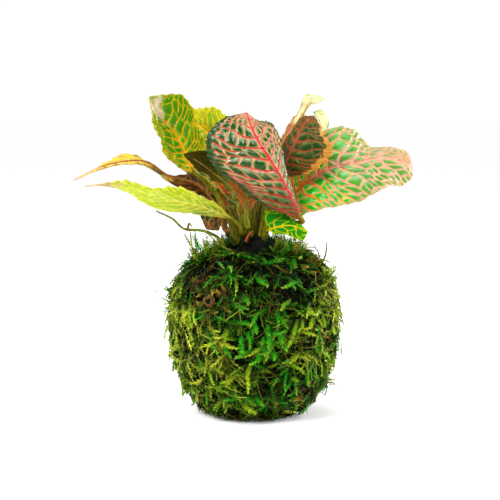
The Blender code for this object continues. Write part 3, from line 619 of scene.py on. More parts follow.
# Each leaf: its stem, the height where it leaves it, its curves from base to tip, and its own looks
LEAVES = {
    "leaf_front": leaf_spec(
        "stem_right", 98, base=(25, -24, 102), tip=(-4, -12, 157),
        left=[(13, -27, 108), (2, -29, 113), (-8, -26, 121), (-21, -20, 132), (-24, -15, 142),
              (-16, -13, 153)],
        rib=[(18, -32, 117), (8, -36, 134), (1, -30, 145)],
        right=[(22, -20, 110), (16, -17, 123), (13, -15, 141), (8, -13, 152), (1, -11, 153)],
        stalk=[(12, -7, 100), (20, -15, 101)], pairs=7,
        net=RED_ON_SHADE, turn=(0.2, 0.64), frost=0.5, frosted="c4c8a4", roughness=0.08, shine=0.25,
        rim="083c0c", rim_weight=0.95, rim_from=0.9, rim_spread=0.14, seed=0.6, cells=5.0, laterals=13,
        spread=3.3, vein=2.8, vein_sweep=0.12, teeth=0.1, rise=0.95, sink=0.45, rows=150, columns=120),
    "leaf_right": leaf_spec(
        "stem_right", 107, base=(19, -8, 113), tip=(82, 4, 130),
        left=[(19, 2, 122), (26, 8, 137), (40, 14, 147), (52, 15, 147), (61, 14, 139), (74, 9, 137.5),
              (80, 7, 135.5)],
        rib=[(26, -6, 120), (37, -3, 127), (50, 0, 130), (68, 2, 133)],
        right=[(22, -16, 107), (36, -22, 109), (54, -18, 113), (71, -8, 120), (78, -1, 120),
               (82, 1.5, 124.5)],
        stalk=[(13, -2, 109)], pairs=7, swell=(0.05, 0.1),
        net=CORAL_ON_GREEN, tip_net=SALMON_ON_PALE, turn=(0.28, 0.66), frost=0.35, frosted="c0d0a4",
        stalk_tones=("c86a2c", "d88a3c", "e06030"), roughness=0.1, shine=0.3, rim="c89868", rim_weight=0.6,
        seed=2.2, cells=4.0, laterals=11, spread=3.3, vein=3.2, vein_sweep=0.12, rise=0.7, sink=0.4,
        rows=150, columns=120),
    "leaf_upper_left": leaf_spec(
        "stem_left", 103, base=(-31, -5, 126), tip=(-54, 0, 165),
        left=[(-37, -8, 128), (-45, -8, 136), (-50, -6, 148), (-53, -3, 158)],
        rib=[(-36, 2, 136), (-41, 6, 145), (-48, 5, 154)],
        right=[(-26, 0, 134), (-26, 3, 142), (-31, 4, 151), (-32, 5, 159), (-36, 5, 164.5),
               (-46, 4, 165.5)],
        stalk=[(-18, -3, 112), (-25, -4, 121)], swell=(-0.1, -0.15),
        # Its curled tip is painted with a pale pink glare
        net=GOLD_ON_GREEN, tip_net=PAINTED_GLARE, back_net=GOLD_ON_YELLOW, turn=(0.78, 0.88),
        band=(0.9, 0.97, "8c9c18", 0.85), shine=0.1, rim="a0a010", seed=3.1, cells=2.6, laterals=11,
        spread=2.4, teeth=0.7, rows=110, columns=80),
    "leaf_behind_left": leaf_spec(
        "stem_back", 114, base=(-8, 15, 132), tip=(-39, 17, 155),
        left=[(-15, 13, 131), (-26, 12, 133), (-34, 13, 139), (-39, 15, 148)],
        rib=[(-18, 20, 141), (-28, 22, 149)],
        right=[(-7, 23, 141), (-13, 28, 153), (-21, 29, 158), (-28, 28, 158), (-33, 24, 158),
               (-37, 20, 157.5)],
        stalk=[(-6, 16, 122)],
        net=GOLD_ON_YELLOW, tip_net=GOLD_ON_YELLOW, back_net=GOLD_ON_YELLOW, shine=0.1, rim="b8b820",
        seed=4.4, cells=1.3, laterals=14, spread=2.2, lean=0.2, teeth=1.1, rows=90, columns=64),
    "leaf_dark_small": leaf_spec(
        "stem_middle", 112, base=(-15, -1, 120), tip=(-36, -12, 136),
        left=[(-15, 1, 127), (-21, -3, 136), (-29, -6, 137)],
        rib=[(-21, -5, 125), (-28, -9, 131)],
        right=[(-20, -8, 122), (-25, -13, 126), (-32, -14, 131)],
        stalk=[(-11, 0, 116)], pairs=4, stalk_radius=1.0,
        # Both faces are painted dark olive, as painted shade
        net=PALER_OLIVE_IN_PAINTED_SHADE, tip_net=OLIVE_IN_PAINTED_SHADE, back_net=PALER_OLIVE_IN_PAINTED_SHADE, back_tip=OLIVE_IN_PAINTED_SHADE, turn=(0.2, 0.6),
        stalk_tones=("6e6420", "8a7c2c", "6a4a20"), shine=0.04, rim="6c6418", seed=5.0, rise=0.15,
        sink=0.1),
    "leaf_long_left": leaf_spec(
        "stem_left", 97, base=(-22, -2, 112), tip=(-93, -10, 122),
        left=[(-25, 4, 118), (-32, 8, 125), (-43, 10, 123), (-57, 12, 131), (-63, 10, 135), (-74, 6, 132),
              (-84, 0, 127)],
        rib=[(-30, -3, 119), (-44, -4, 123), (-56, -4, 131), (-68, -5, 131), (-81, -8, 128)],
        right=[(-26, -12, 114), (-34, -17, 118), (-43, -19, 123), (-55, -21, 131), (-68, -20, 132),
               (-79, -16, 128)],
        stalk=[(-17, -1, 106)], pairs=7, swell=(0.0, 0.0),
        net=BROWN_BACK, tip_net=GOLD_BACK, back_net=BROWN_BACK, back_tip=GOLD_BACK, turn=(0.35, 0.55),
        band=(0.86, 0.98, "d09880", 0.85), stalk_tones=("7c5420", "a87438", "a05c3c"), shine=0.1,
        rim="b88c40", seed=6.2, cells=2.0, laterals=8, teeth=0.8, rows=90, columns=56),
    "leaf_low_left": leaf_spec(
        "stem_middle", 96, base=(-11, -8, 102), tip=(-86, -22, 120),
        left=[(-28, 4, 104), (-43, 5, 105), (-55, 3, 110), (-64, -4, 115), (-74, -14, 120)],
        rib=[(-24, -9, 108), (-42, -14, 113), (-60, -19, 118), (-72, -21, 121)],
        right=[(-21, -22, 112), (-34, -30, 119), (-51, -34, 120), (-60, -31, 123), (-70, -26, 122)],
        stalk=[(-7, -6, 98)], pairs=7, swell=(0.0, 0.0),
        net=OLIVE_NET, tip_net=YELLOW_BACK, back_net=OLIVE_NET, back_tip=YELLOW_BACK, turn=(0.05, 0.4),
        band=(0.8, 0.88, "b08460", 0.85), shine=0.1, rim="d0cc3c", seed=7.7, cells=2.0, laterals=14,
        lean=0.2, teeth=2.0, rows=110, columns=64),
    "leaf_low_right": leaf_spec(
        "stem_right", 95, base=(7, -12, 97), tip=(27, -32, 98),
        left=[(6, -13, 106.5), (15, -18, 105.5), (22.5, -25.5, 101)],
        rib=[(12, -22, 99.5), (20, -29, 100.5)],
        right=[(10, -20, 96), (18, -30, 96), (24, -33, 94)],
        stalk=[(6, -6, 94)], pairs=5, swell=(0.1, 0.1), stalk_radius=1.0,
        net=GOLD_ON_LEAF, tip_net=GOLD_ON_LEAF, shine=0.05, rim="5c9c14", seed=8.5, cells=1.6, laterals=5,
        spread=1.4, vein=1.7),
    "leaf_upright_brown": leaf_spec(
        "stem_right", 114, base=(15, -5, 124), tip=(31, 4, 155),
        left=[(13, -2, 132), (16, 2, 141), (20, 4, 148), (25, 4, 154)],
        rib=[(17, -12, 134), (22, -10, 144), (26, -2, 151)],
        right=[(24, -14, 125), (34, -17, 131), (39, -11, 138), (35, -4, 145), (34, 2, 150)],
        stalk=[(12, 1, 119)], pairs=5, swell=(0.1, 0.1), stalk_radius=1.0,
        net=RED_ON_BROWN, tip_net=RED_ON_BROWN, back_net=BROWN_BACK, frost=0.3, frosted="a8a85c", shine=0.1,
        rim="b88030", rim_weight=0.9, rim_from=0.86, rim_spread=0.12, seed=9.1, cells=3.4, spread=2.6,
        teeth=2.4, rows=84, columns=64),
    "leaf_curled_tip": leaf_spec(
        "stem_back", 117, base=(14, 6, 126), tip=(37, 12, 164),
        left=[(12, 13, 137), (17, 14, 148), (24, 17, 158), (27, 18, 165), (33, 17, 165)],
        rib=[(14, 9, 137), (19, 9, 147), (26, 10, 157), (28, 11, 163), (32, 13, 163)],
        right=[(15, 5, 138), (21, 4, 147), (26, 5, 156), (29, 5, 161), (34, 9, 162)],
        stalk=[(8, 13, 121)], pairs=5, swell=(0.0, 0.0), wave=0.4, stalk_radius=1.0,
        net=PINK_ON_BROWN, tip_net=CREAM, back_net=PINK_ON_BROWN, back_tip=CREAM, turn=(0.6, 0.85),
        shine=0.1, rim="8c9434", seed=10.3, teeth=0.7),
    "leaf_pale_tip": leaf_spec(
        "stem_right", 117, base=(23, 14, 122), tip=(31, 12, 157),
        left=[(22, 12, 132), (28, 12, 141), (32.5, 13, 147), (34.5, 13, 151.5), (32.5, 11, 154.5)],
        rib=[(26, 17, 130), (33, 20, 139), (38, 20, 147), (37, 16, 154)],
        right=[(31, 21, 128), (37, 24, 138), (39, 22, 146), (39, 19, 152.5), (35.7, 15, 157.7)],
        stalk=[(17, 12, 119)], pairs=5, swell=(0.0, 0.0), wave=0.4, stalk_radius=1.0,
        net=ORANGE_ON_GREEN, tip_net=CREAM, back_net=GOLD_ON_LEAF, back_tip=CREAM, turn=(0.3, 0.6),
        shine=0.1, rim="8cac3c", seed=11.4),
    "leaf_under_left": leaf_spec(
        "stem_middle", 105, base=(-12, 9, 107), tip=(-25, 12, 95),
        left=[(-17, 12, 112), (-23, 14, 116), (-27, 15, 110), (-28, 14, 102)],
        rib=[(-17, 8, 106), (-22, 10, 101)],
        right=[(-14, 4, 101), (-19, 5, 96)],
        stalk=[(-9, 6, 107)], pairs=4, stalk_radius=1.0,
        net=ORANGE_ON_GREEN, tip_net=ORANGE_ON_DEEP, back_net=ORANGE_ON_DEEP, shine=0.1, rim="1a5a1c",
        seed=12.9, cells=2.0, laterals=6, spread=2.4),
    "leaf_middle": leaf_spec(
        "stem_middle", 98, base=(-4, -7, 104), tip=(-7, -10, 138),
        left=[(1, -6, 111), (5, -8, 121), (3, -11, 131)],
        rib=[(-4, -8, 115), (-6, -9, 126)],
        right=[(-7, -6, 111), (-12, -8, 121), (-13, -11, 131)],
        stalk=[], pairs=5,
        net=BRONZE_BACK, tip_net=BRONZE_BACK, back_net=BRONZE_BACK, rim="8a5a1c", seed=13.2, rise=0.2),
    "leaf_back_middle": spread_leaf(
        "stem_back", 112, base=(-1, 31, 121), tip=(-6, 70, 132), arch=6, up=(0, -0.3, 1), half_width=14,
        stalk=[(1, 25, 115)],
        seed=14.1, rows=84, columns=68),
    "leaf_back_top": spread_leaf(
        "stem_back", 119, base=(-2, 28, 130), tip=(-5, 44, 153), arch=-3, up=(0, -1, 0.6), half_width=12,
        stalk=[(-1, 25, 125)], pairs=5,
        net=ORANGE_ON_GREEN, tip_net=SALMON_ON_PALE, seed=15.6),
    "leaf_back_right": spread_leaf(
        "stem_back", 107, base=(14, 22, 112), tip=(53, 45, 123), arch=5, up=(0, -0.3, 1), half_width=15,
        stalk=[(6, 20, 111)],
        tip_net=RED_ON_DEEP, seed=16.8, rows=84, columns=68),
    "leaf_back_left": spread_leaf(
        "stem_back", 103, base=(-14, 24, 112), tip=(-42, 54, 128), arch=5, up=(0, -0.3, 1), half_width=14,
        stalk=[(-7, 19, 107)],
        net=ORANGE_ON_GREEN, seed=17.3, rows=84, columns=68),
    "leaf_back_low_right": spread_leaf(
        "stem_back", 99, base=(5, 23, 104), tip=(29, 41, 105), arch=3, up=(0.5, -0.8, 0.7), half_width=10,
        stalk=[(3, 17, 100.5)], pairs=5,
        net=ORANGE_ON_DEEP, tip_net=GOLD_ON_GREEN, shine=0.1, seed=18.9, laterals=7),
    "leaf_back_low_left": spread_leaf(
        "stem_back", 95, base=(-1, 26.5, 102.5), tip=(-24, 43, 103), arch=3, up=(-0.2, -0.9, 0.6),
        half_width=10, stalk=[(-1.8, 16, 97), (-0.8, 21, 99.5)], pairs=5,
        net=ORANGE_ON_DEEP, tip_net=ORANGE_ON_DEEP, shine=0.1, seed=19.5, laterals=7),
}


def blade_surface(leaf, g, v):
    """The middle surface of a blade: g runs from base to tip, v from the left to the right edge."""
    across = np.abs(v)
    along_rib = g - RIB_SWEEP * g * (1 - g)
    rib = curve_point(leaf["rib"], along_rib)
    edge = np.where((v < 0)[..., None], curve_point(leaf["left"], g), curve_point(leaf["right"], g))
    forward = unit(curve_point(leaf["rib"], np.clip(along_rib + 0.02, 0, 1))
                   - curve_point(leaf["rib"], np.clip(along_rib - 0.02, 0, 1)))
    side = edge - rib
    half_width = np.linalg.norm(side, axis=-1)
    normal = unit(np.cross(side, forward)) * np.where(v < 0, -1, 1)[..., None]
    swell = np.where(v < 0, *leaf["swell"])
    hump = 4 * across * (1 - across) * half_width
    scallop = SCALLOP * across**3 * np.abs(np.sin(leaf["pairs"] * math.pi * g))
    point = rib + side * (across + scallop * across)[..., None]
    return point + normal * (swell * hump)[..., None] - forward * (VEIN_BEND * hump)[..., None]


def stalk_points(leaf):
    """Points along the leaf stalk, from the stem to the base of the blade."""
    stem = STEMS[leaf["stem"]]
    t = np.linspace(0, 1, 200)
    path = curve_point(stem["points"], t)
    i = int(np.clip(np.searchsorted(path[:, 2], leaf["height"]), 1, len(path) - 2))
    radius = stem["radius"][0] + (stem["radius"][1] - stem["radius"][0]) * t[i]
    direction = unit(path[i + 1] - path[i - 1])
    targets = [np.asarray(p, float) for p in leaf["stalk"]] + [np.asarray(leaf["rib"][0], float)]
    out = targets[0] - path[i]
    out = unit(out - (out @ direction) * direction)
    foot = path[i] + out * (radius + STALK_GAP)
    points = [foot - out * 0.8, foot + out * 1.5] + targets
    return curve_point(points, np.linspace(0, 1, 14))


def make_blade(leaf, look, thickness):
    """A flat sheet bent on to the leaf's curves, quilted between its veins and given its thickness."""
    bpy.ops.object.select_all(action="DESELECT")
    bpy.ops.mesh.primitive_grid_add(x_subdivisions=look["columns"], y_subdivisions=look["rows"], size=2)
    blade = bpy.context.active_object
    flat = read_points(blade)
    v = flat[:, 0]
    g = BLADE_START + (BLADE_END - BLADE_START) * (flat[:, 1] + 1) / 2
    across = np.abs(v)
    more = np.clip(v + SLOPE_STEP, -1, 1)
    less = np.clip(v - SLOPE_STEP, -1, 1)
    middle = blade_surface(leaf, g, v)
    right = (blade_surface(leaf, g, more) - blade_surface(leaf, g, less)) / (more - less)[:, None]
    ahead = blade_surface(leaf, g + SLOPE_STEP, v) - blade_surface(leaf, g - SLOPE_STEP, v)
    ahead = ahead / (2 * SLOPE_STEP)
    cross = np.cross(right, ahead)
    area = np.linalg.norm(cross, axis=1)
    normal = unit(cross)
    span_u = area / np.linalg.norm(right, axis=1) / look["laterals"]
    span_v = area / np.linalg.norm(ahead, axis=1)

    # The relief: cells rise between the veins, and the edge has waves, ruffles and teeth
    swept = g - look["vein_sweep"] * across ** 0.8 * 2.2 * (0.35 + g) * (1 - g)
    place = np.stack([look["laterals"] * swept, v, g], 1)
    main, net, _ = vein_net(np, smooth, place.T, (span_u, span_v), look["seed"], look["cells"])
    fade = np.minimum(1, 5 * g * (1 - g)) * np.clip(np.minimum(span_u, span_v / 3) / 2.5, 0, 1)
    quilt = look["rise"] * smooth(0.1, 4.5, net) - look["sink"] * np.exp(-main**2)
    edge = smooth(0.6, 1.0, across) * leaf["wave"] * np.sin(2 * math.pi * EDGE_WAVES * g + 2 * v)
    ruffle = 0.3 * smooth(0.7, 1.0, across) * np.sin(2 * math.pi * place[:, 0] + look["seed"])
    lift = fade * quilt + np.minimum(1, 4 * g * (1 - g)) * (edge + ruffle)
    tooth = look["teeth"] * across ** 6 * (np.abs(np.sin(math.pi * place[:, 0])) - 0.3) * np.sign(v)
    middle = middle + normal * lift[:, None] + unit(right) * (tooth * np.minimum(1, 8 * g * (1 - g)))[:, None]
    half = (thickness + (RIM_THICKNESS - thickness) * smooth(0.8, 1.0, across)) / 2

    wall = blade.modifiers.new("thickness", "SOLIDIFY")
    wall.thickness = thickness * MM
    wall.offset = 0.0
    apply_all(blade)
    count = len(g)
    solid = read_points(blade)
    up_first = solid[:count, 2].mean() > solid[count:2 * count, 2].mean()
    faces = (middle + normal * half[:, None], middle - normal * half[:, None])
    write_points(blade, np.vstack(faces if up_first else faces[::-1]) * MM)
    under = np.repeat([0.0, 1.0] if up_first else [1.0, 0.0], count)
    write_values(blade, "leaf_place", np.vstack([place, place]))
    write_values(blade, "leaf_scale", np.stack([np.tile(span_u, 2), np.tile(span_v, 2), under], 1))
    shade_smooth(blade)
    t = np.linspace(0.0, KEEL_END, 20)
    nearest = [int(np.argmin(np.abs(g - max(x, BLADE_START)) + across * 3)) for x in t]
    return blade, middle[nearest], normal[nearest]


def make_leaf(name, leaf, thickness):
    """One leaf: its blade, and its stalk, which runs on under the blade as the raised midrib."""
    look = {**LOOK_DEFAULTS, **leaf["look"]}
    blade, rib, rib_normal = make_blade(leaf, look, thickness)
    blade.data.materials.append(leaf_material(name, look))
    stalk = stalk_points(leaf)
    radius = leaf["stalk_radius"]
    keel_radii = np.linspace(radius * 0.85, 0.3, len(rib))
    keel = rib - rib_normal * (keel_radii * smooth(0, 4, np.arange(len(rib))) * 0.95)[:, None]
    path = np.vstack([stalk[:-1], keel])
    radii = np.concatenate([np.linspace(radius * 1.2, radius * 0.9, len(stalk) - 1), keel_radii])
    petiole = tube(path, radii, 12)
    petiole.data.materials.append(stalk_material(name + "_stalk", *look["stalk_tones"]))
    join(blade, petiole)
    finish_piece(blade, name + "_quilted", [name])


# Stems, stub and soil

def make_stem(name, points, radius):
    """A stem with swollen joints and its side shoots, planted in the soil."""
    t = np.linspace(0, 1, 40)
    path = curve_point([(points[0][0], points[0][1], STEM_FOOT)] + list(points), t)
    radii = radius[0] + (radius[1] - radius[0]) * t
    radii = radii * (1 + 0.14 * np.maximum(0, np.cos(2 * math.pi * (t * 3 + 0.2))) ** 6)
    end = path[-1] + unit(path[-1] - path[-2]) * radius[1] * 0.6
    stem = tube(np.vstack([path, end]), np.append(radii, radius[1] * 0.55), 16)
    t = np.linspace(0, 1, 24)
    taper = 1 - 0.3 * t + 0.35 * np.maximum(0, np.sin(7 * t)) ** 8
    stem = join(stem, *(tube(curve_point(spur, t), thick * taper, 12) for thick, spur in SPURS[name]))
    stem.data.materials.append(stalk_material(name, *STEM_TONES))
    finish_piece(stem, name + "_grown", [name])


def soil_material():
    """Crumbly soil, shared by the soil ball, its crumbs and the knot's hole."""
    if "black_soil" in bpy.data.materials:
        return bpy.data.materials["black_soil"]
    mat, shader, w = new_material("black_soil")
    grain = w.noise(1600.0, 5.0, 0.7)
    w.fill(shader, {
        "Base Color": w.ramp(grain, [(0.3, "020101"), (0.55, "0a0603"), (0.72, "24160a"), (0.9, "48301a")]),
        "Roughness": w.step(w.noise(200.0, 3.0, 0.5), 0.3, 0.7, 0.55, 0.95),
        "Specular IOR Level": 0.12, "Normal": w.bump(grain, 0.9, 0.0012)})
    return mat


def spun(name, profile, steps):
    """A closed turned body: a profile of radius and height pairs spun about the upright axis."""
    bpy.ops.object.select_all(action="DESELECT")
    mesh = bpy.data.meshes.new(name)
    edges = [(i, i + 1) for i in range(len(profile) - 1)]
    mesh.from_pydata([(r * MM, 0, z * MM) for r, z in profile], edges, [])
    obj = bpy.data.objects.new(name, mesh)
    bpy.context.collection.objects.link(obj)
    only(obj)
    bpy.ops.object.mode_set(mode="EDIT")
    bpy.ops.mesh.select_all(action="SELECT")
    bpy.ops.mesh.spin(steps=steps, angle=2 * math.pi, center=(0, 0, 0), axis=(0, 0, 1))
    bpy.ops.mesh.select_all(action="SELECT")
    bpy.ops.mesh.remove_doubles(threshold=0.00001)
    bpy.ops.mesh.normals_make_consistent(inside=False)
    bpy.ops.object.mode_set(mode="OBJECT")
    return obj


def lumps(points, waves):
    """A smooth irregular height over the points, from a few crossed waves of random direction."""
    chance = random.Random(LUMP_SEED)
    total = np.zeros(len(points))
    for size, height in waves:
        for _ in range(5):
            way = unit(np.array([chance.gauss(0, 1) for _ in range(3)]))
            total += height * np.sin(points @ way * (2 * math.pi / size) + chance.uniform(0, 6.28)) / 2.2
    return total


def moss_outside(t):
    """Radius, height and outward slope of the moss's outside at t, 0 at the bottom and 1 at the mouth."""
    outline = [(r, 0, z) for r, z in MOSS_OUTLINE]
    at, ahead, behind = (curve_point(outline, np.clip(t + step, 0, 1)) for step in (0, 0.01, -0.01))
    way = unit(ahead - behind)
    return at[:, 0], at[:, 2], way[:, 2], -way[:, 0]


# Moss

def moss_mat_material():
    """The dark mat under the shoots, green and brown in patches, its darkness partly painted shade."""
    mat, shader, w = new_material("moss_shade")
    fine = w.noise(900.0, 5.0, 0.7)
    patch = w.step(w.noise(60.0, 2.0, 0.5), 0.45, 0.6)
    green = w.ramp(fine, [(0.3, "020401"), (0.5, "060c02"), (0.65, "142006"), (0.85, "2c3c0a")])
    brown = w.ramp(fine, [(0.3, "040201"), (0.5, "0c0703"), (0.7, "241808"), (0.9, "4a3a10")])
    w.fill(shader, {"Base Color": w.mix(patch, green, brown), "Roughness": fine * 0.2 + 0.75,
                    "Specular IOR Level": 0.05, "Normal": w.bump(fine, 1.0, 0.002)})
    return mat


def shoot_material(name, stops, root, light, shaded, leaflets):
    """Moss shoots: painted shade at the root and between leaflets, light at the tip, each with its own tone.
    """
    mat, shader, w = new_material(name)
    along, across, tone = w.attribute("moss_place")
    # Painted shade: the shoot darkens to its root colour in the gaps, low down and in the shaded patches
    deep = w.attribute("moss_painted_shade")[0]
    fleck = w.noise(1500.0, 3.0, 0.6)
    colour = w.ramp(tone + fleck * 0.36 - 0.18, stops)
    # Painted shade: stripes between the leaflets, and darker towards the root
    leaflet = w.sin(along * (leaflets * 6.283) - abs(across) * 1.4) * 0.5 + 0.5
    shade = w.maximum(w.step(along, 0.0, 0.8, shaded, 0.0), leaflet * 0.6)
    tip = w.step(along, 0.5, 1.0) * w.step(fleck, 0.45, 0.65, 0.0, 0.5)
    colour = w.mix(tip, w.mix(shade, colour, root), light)
    w.fill(shader, {"Base Color": w.mix(deep, colour, root), "Roughness": fleck * 0.3 + 0.4,
                    "Specular IOR Level": 0.06})
    return mat


def shoot_shape(rows, waist):
    """One flat moss shoot, lying along +Y from 0 to 1, keeled, with toothed sides and a blunt tip."""
    bpy.ops.object.select_all(action="DESELECT")
    bpy.ops.mesh.primitive_grid_add(x_subdivisions=2, y_subdivisions=rows, size=2)
    shoot = bpy.context.active_object
    points = read_points(shoot)
    side = np.round(points[:, 0])
    t = (points[:, 1] + 1) / 2
    odd = np.round(t * rows).astype(int) % 2 == 1
    width = np.sin(math.pi * np.clip(0.1 + 0.84 * t, 0, 1)) ** 0.7 * 0.5
    out = np.empty_like(points)
    out[:, 0] = side * width * np.where(odd, 1.0, waist)
    out[:, 1] = t + np.abs(side) * np.where(odd, 0.04, 0.0)
    out[:, 2] = -np.abs(side) * np.where(odd, 0.1, 0.3)
    faces = np.array([[p.vertices[i] for i in order] for p in shoot.data.polygons
                      for order in ((0, 1, 2), (0, 2, 3))])
    bpy.data.objects.remove(shoot)
    return out, faces, side


def feather_shape(pairs, stem=0.07):
    """One feathery moss shoot along +Y from 0 to 1: a thin stem with a leaflet on each side of every step."""
    t = np.linspace(0, 1, pairs + 1)
    stem_width = stem * (1 - 0.6 * t)
    mid = (t[1:] + t[:-1]) / 2
    reach = np.sin(math.pi * np.clip(0.14 + 0.8 * mid, 0, 1)) ** 0.6 * 0.5
    lift = np.where(np.arange(pairs) % 2 == 0, -0.22, 0.08)
    stems = [np.stack([sign * stem_width, t, np.zeros_like(t)], 1) for sign in (-1, 1)]
    tips = [np.stack([sign * reach, mid + 0.09, lift], 1) for sign in (-1, 1)]
    points = np.vstack(stems + tips)
    a = np.arange(pairs)
    b = a + pairs + 1
    tip_left = a + 2 * (pairs + 1)
    tip_right = tip_left + pairs
    triangles = ((a, b, b + 1), (a, b + 1, a + 1), (a, a + 1, tip_left), (b, tip_right, b + 1))
    faces = np.vstack([np.stack(corners, 1) for corners in triangles])
    return points, faces, np.sign(points[:, 0]) * (np.abs(points[:, 0]) > 0.1)


def grow_shoots(name, shape, rng, feet, outward, along, length, width, pitch, tone, mat, curl=0.3, deep=None):
    """Copies of one shoot, each with its own bend: rooted at its foot, pitched up and drooping to its tip."""
    points, faces, side = shape
    count = len(feet)
    length, width, pitch = length[:, None], width[:, None], pitch[:, None]
    y = np.broadcast_to(points[None, :, 1], (count, len(points)))

    # Each shoot twists, droops under its own weight and sways, and stays above the floor
    across = np.cross(along, outward)
    twist = rng.uniform(-0.9, 0.9, count)[:, None] * (0.4 + y)
    x = points[None, :, 0] * width
    z = points[None, :, 2] * width
    x, z = x * np.cos(twist) - z * np.sin(twist), x * np.sin(twist) + z * np.cos(twist)
    reach = y * length
    droop = rng.uniform(0.6, 1.3, count)[:, None]
    high = reach * np.sin(pitch) - droop * reach**2 * (1 / 90 + np.sin(pitch) / (3.2 * length))
    sway = rng.uniform(-curl, curl, count)[:, None] * reach * y
    sway = sway + 0.08 * width * np.sin(y * 9 + rng.uniform(0, 6.28, count)[:, None])
    co = (feet[:, None, :] + along[:, None, :] * (reach * np.cos(pitch))[..., None]
          + outward[:, None, :] * (high + z)[..., None] + across[:, None, :] * (x + sway)[..., None])
    rough = width * 0.5 * (0.3 + np.abs(points[None, :, 0]))
    co = co + rng.normal(0, SHOOT_ROUGHNESS, co.shape) * rough[..., None]
    co[..., 2] = np.maximum(co[..., 2], 0.1 + 0.25 * y)

    # What the material reads: how far along and across the shoot, its tone, and how much painted shade
    # darkens it
    index = faces[None, :, :] + (np.arange(count) * len(points))[:, None, None]
    values = np.zeros((2, *y.shape, 3))
    values[0, ..., 0] = y
    values[0, ..., 1] = side[None, :]
    values[0, ..., 2] = np.clip(tone, 0, 1)[:, None]
    if deep is not None:
        values[1, ..., 0] = deep[:, None]
    layers = {"moss_place": values[0].reshape(-1, 3), "moss_painted_shade": values[1].reshape(-1, 3)}
    finish_piece(mesh_of(name, co.reshape(-1, 3), index.reshape(-1, 3), layers, mat), name)


# How rough a moss shoot's outline is, as a share of its width
SHOOT_ROUGHNESS = 0.16

# The moss materials: tones from dead to fresh, root, light tip, painted root shade, leaflets in painted shade
MOSS_LOOKS = {
    "moss_dark": ([(0.0, "5a3e14"), (0.2, "4a3c08"), (0.34, "143006"), (0.45, "0c4806"), (0.53, "0c480a"),
                   (0.64, "284c08"), (0.82, "4a6c08"), (1.0, "8c9c18")], "010200", "6c8410", 0.95, 2),
    "moss_green": ([(0.0, "6e4a16"), (0.18, "5c5008"), (0.32, "1c4404"), (0.44, "127c08"), (0.53, "187c08"),
                    (0.64, "3a6a08"), (0.8, "60880c"), (1.0, "b4c020")], "020400", "a0b81c", 0.9, 5),
    "moss_bright": ([(0.0, "8c5c1c"), (0.18, "727010"), (0.34, "34780c"), (0.44, "18b010"), (0.53, "28ac0c"),
                     (0.64, "4c9010"), (0.8, "94bc10"), (1.0, "e0e440")], "061002", "e0e450", 0.8, 6),
    "moss_thread": ([(0.0, "2c180a"), (0.35, "5c3c18"), (0.6, "5a5c18"), (1.0, "a8a838")],
                    "0c0602", "8c7c30", 0.7, 1),
}

# Patches of the cover, each by its middle across and up the front, its radius and its tone
# The bright patches near both sides are partly painted light
MOSS_PATCHES = [
    (-19, 68, 9, 0.14), (-26, 72, 7, 0.17), (-14, 60, 6, 0.18), (31, 72, 4, 0.1), (40, 56, 4, 0.12),
    (4, 46, 11, 0.52), (12, 43, 8, 0.54), (-3, 54, 7, 0.5), (5, 74, 12, 0.4), (14, 68, 8, 0.36),
    (36, 43, 6, 0.06), (30, 22, 7, 0.12), (24, 12, 8, 0.3), (-30, 22, 8, 0.7), (-34, 45, 8, 0.72),
    (-6, 15, 12, 0.62), (38, 60, 9, 0.9), (28, 40, 6, 0.85), (-38, 60, 7, 0.8), (12, 22, 8, 0.42),
    (42, 34, 6, 0.92), (41, 26, 6, 0.85), (-42, 35, 6, 0.85), (-40, 50, 6, 0.85), (36, 68, 7, 0.85),
    (43, 52, 6, 0.9), (-8, 80, 9, 0.36), (6, 84, 9, 0.34), (20, 78, 6, 0.4), (-22, 84, 5, 0.6),
    (24, 60, 6, 0.7), (32, 30, 6, 0.75),
]

# Patches that lie in the shade, each with how dark it is
SHADED_PATCHES = [
    (4, 80, 14, 0.6), (20, 70, 9, 0.55), (-18, 36, 8, 0.5), (-8, 27, 8, 0.45), (14, 27, 7, 0.4),
    (0, 65, 8, 0.35), (-22, 60, 5, 0.3), (28, 50, 4, 0.4), (24, 16, 8, 0.35), (-24, 80, 7, 0.4),
    (-28, 34, 9, 0.4), (-24, 18, 9, 0.35), (0, 44, 20, 0.16), (4, 24, 18, 0.24),
]

# Feathery tufts that stand out: place, direction, number of shoots, their length and tone
MOSS_TUFTS = [
    ((-24, -12, 82), (-0.2, -0.1, 1), 16, 12, 0.27), ((-20, -13, 84), (0.1, -0.2, 1), 12, 10, 0.33),
    ((-25, -13, 81), (-0.2, -0.1, 1), 10, 11, 0.72), ((14, -13, 85), (0.1, -0.2, 1), 14, 11, 0.3),
    ((20, -13, 83), (0.2, -0.1, 1), 14, 11, 0.26), ((17, -13, 84), (0.2, -0.1, 1), 10, 10, 0.68),
    ((28, -12, 79), (0.4, -0.3, 0.8), 26, 5, 0.08), ((37, -9, 68), (0.5, -0.2, 0.9), 16, 9, 0.85),
    ((35, -9, 72), (0.5, -0.1, 0.9), 10, 9, 0.8), ((-40, -8, 64), (-0.9, -0.1, 0.3), 8, 6, 0.72),
    ((-41.5, -4, 60), (-1, 0, -0.25), 6, 6.5, 0.8), ((34, -8, 17), (1, -0.1, 0.1), 5, 7, 0.2),
    ((42, -8, 35), (0.6, -0.2, -1), 7, 6, 0.8), ((-30, 18, 78), (-0.6, 0.4, 0.8), 14, 7, 0.7),
    ((10, 34, 74), (0.2, 0.8, 0.7), 16, 8, 0.65), ((34, 22, 66), (0.7, 0.5, 0.6), 12, 8, 0.8),
    ((-20, 36, 52), (-0.4, 0.9, 0.2), 10, 7, 0.6),
]

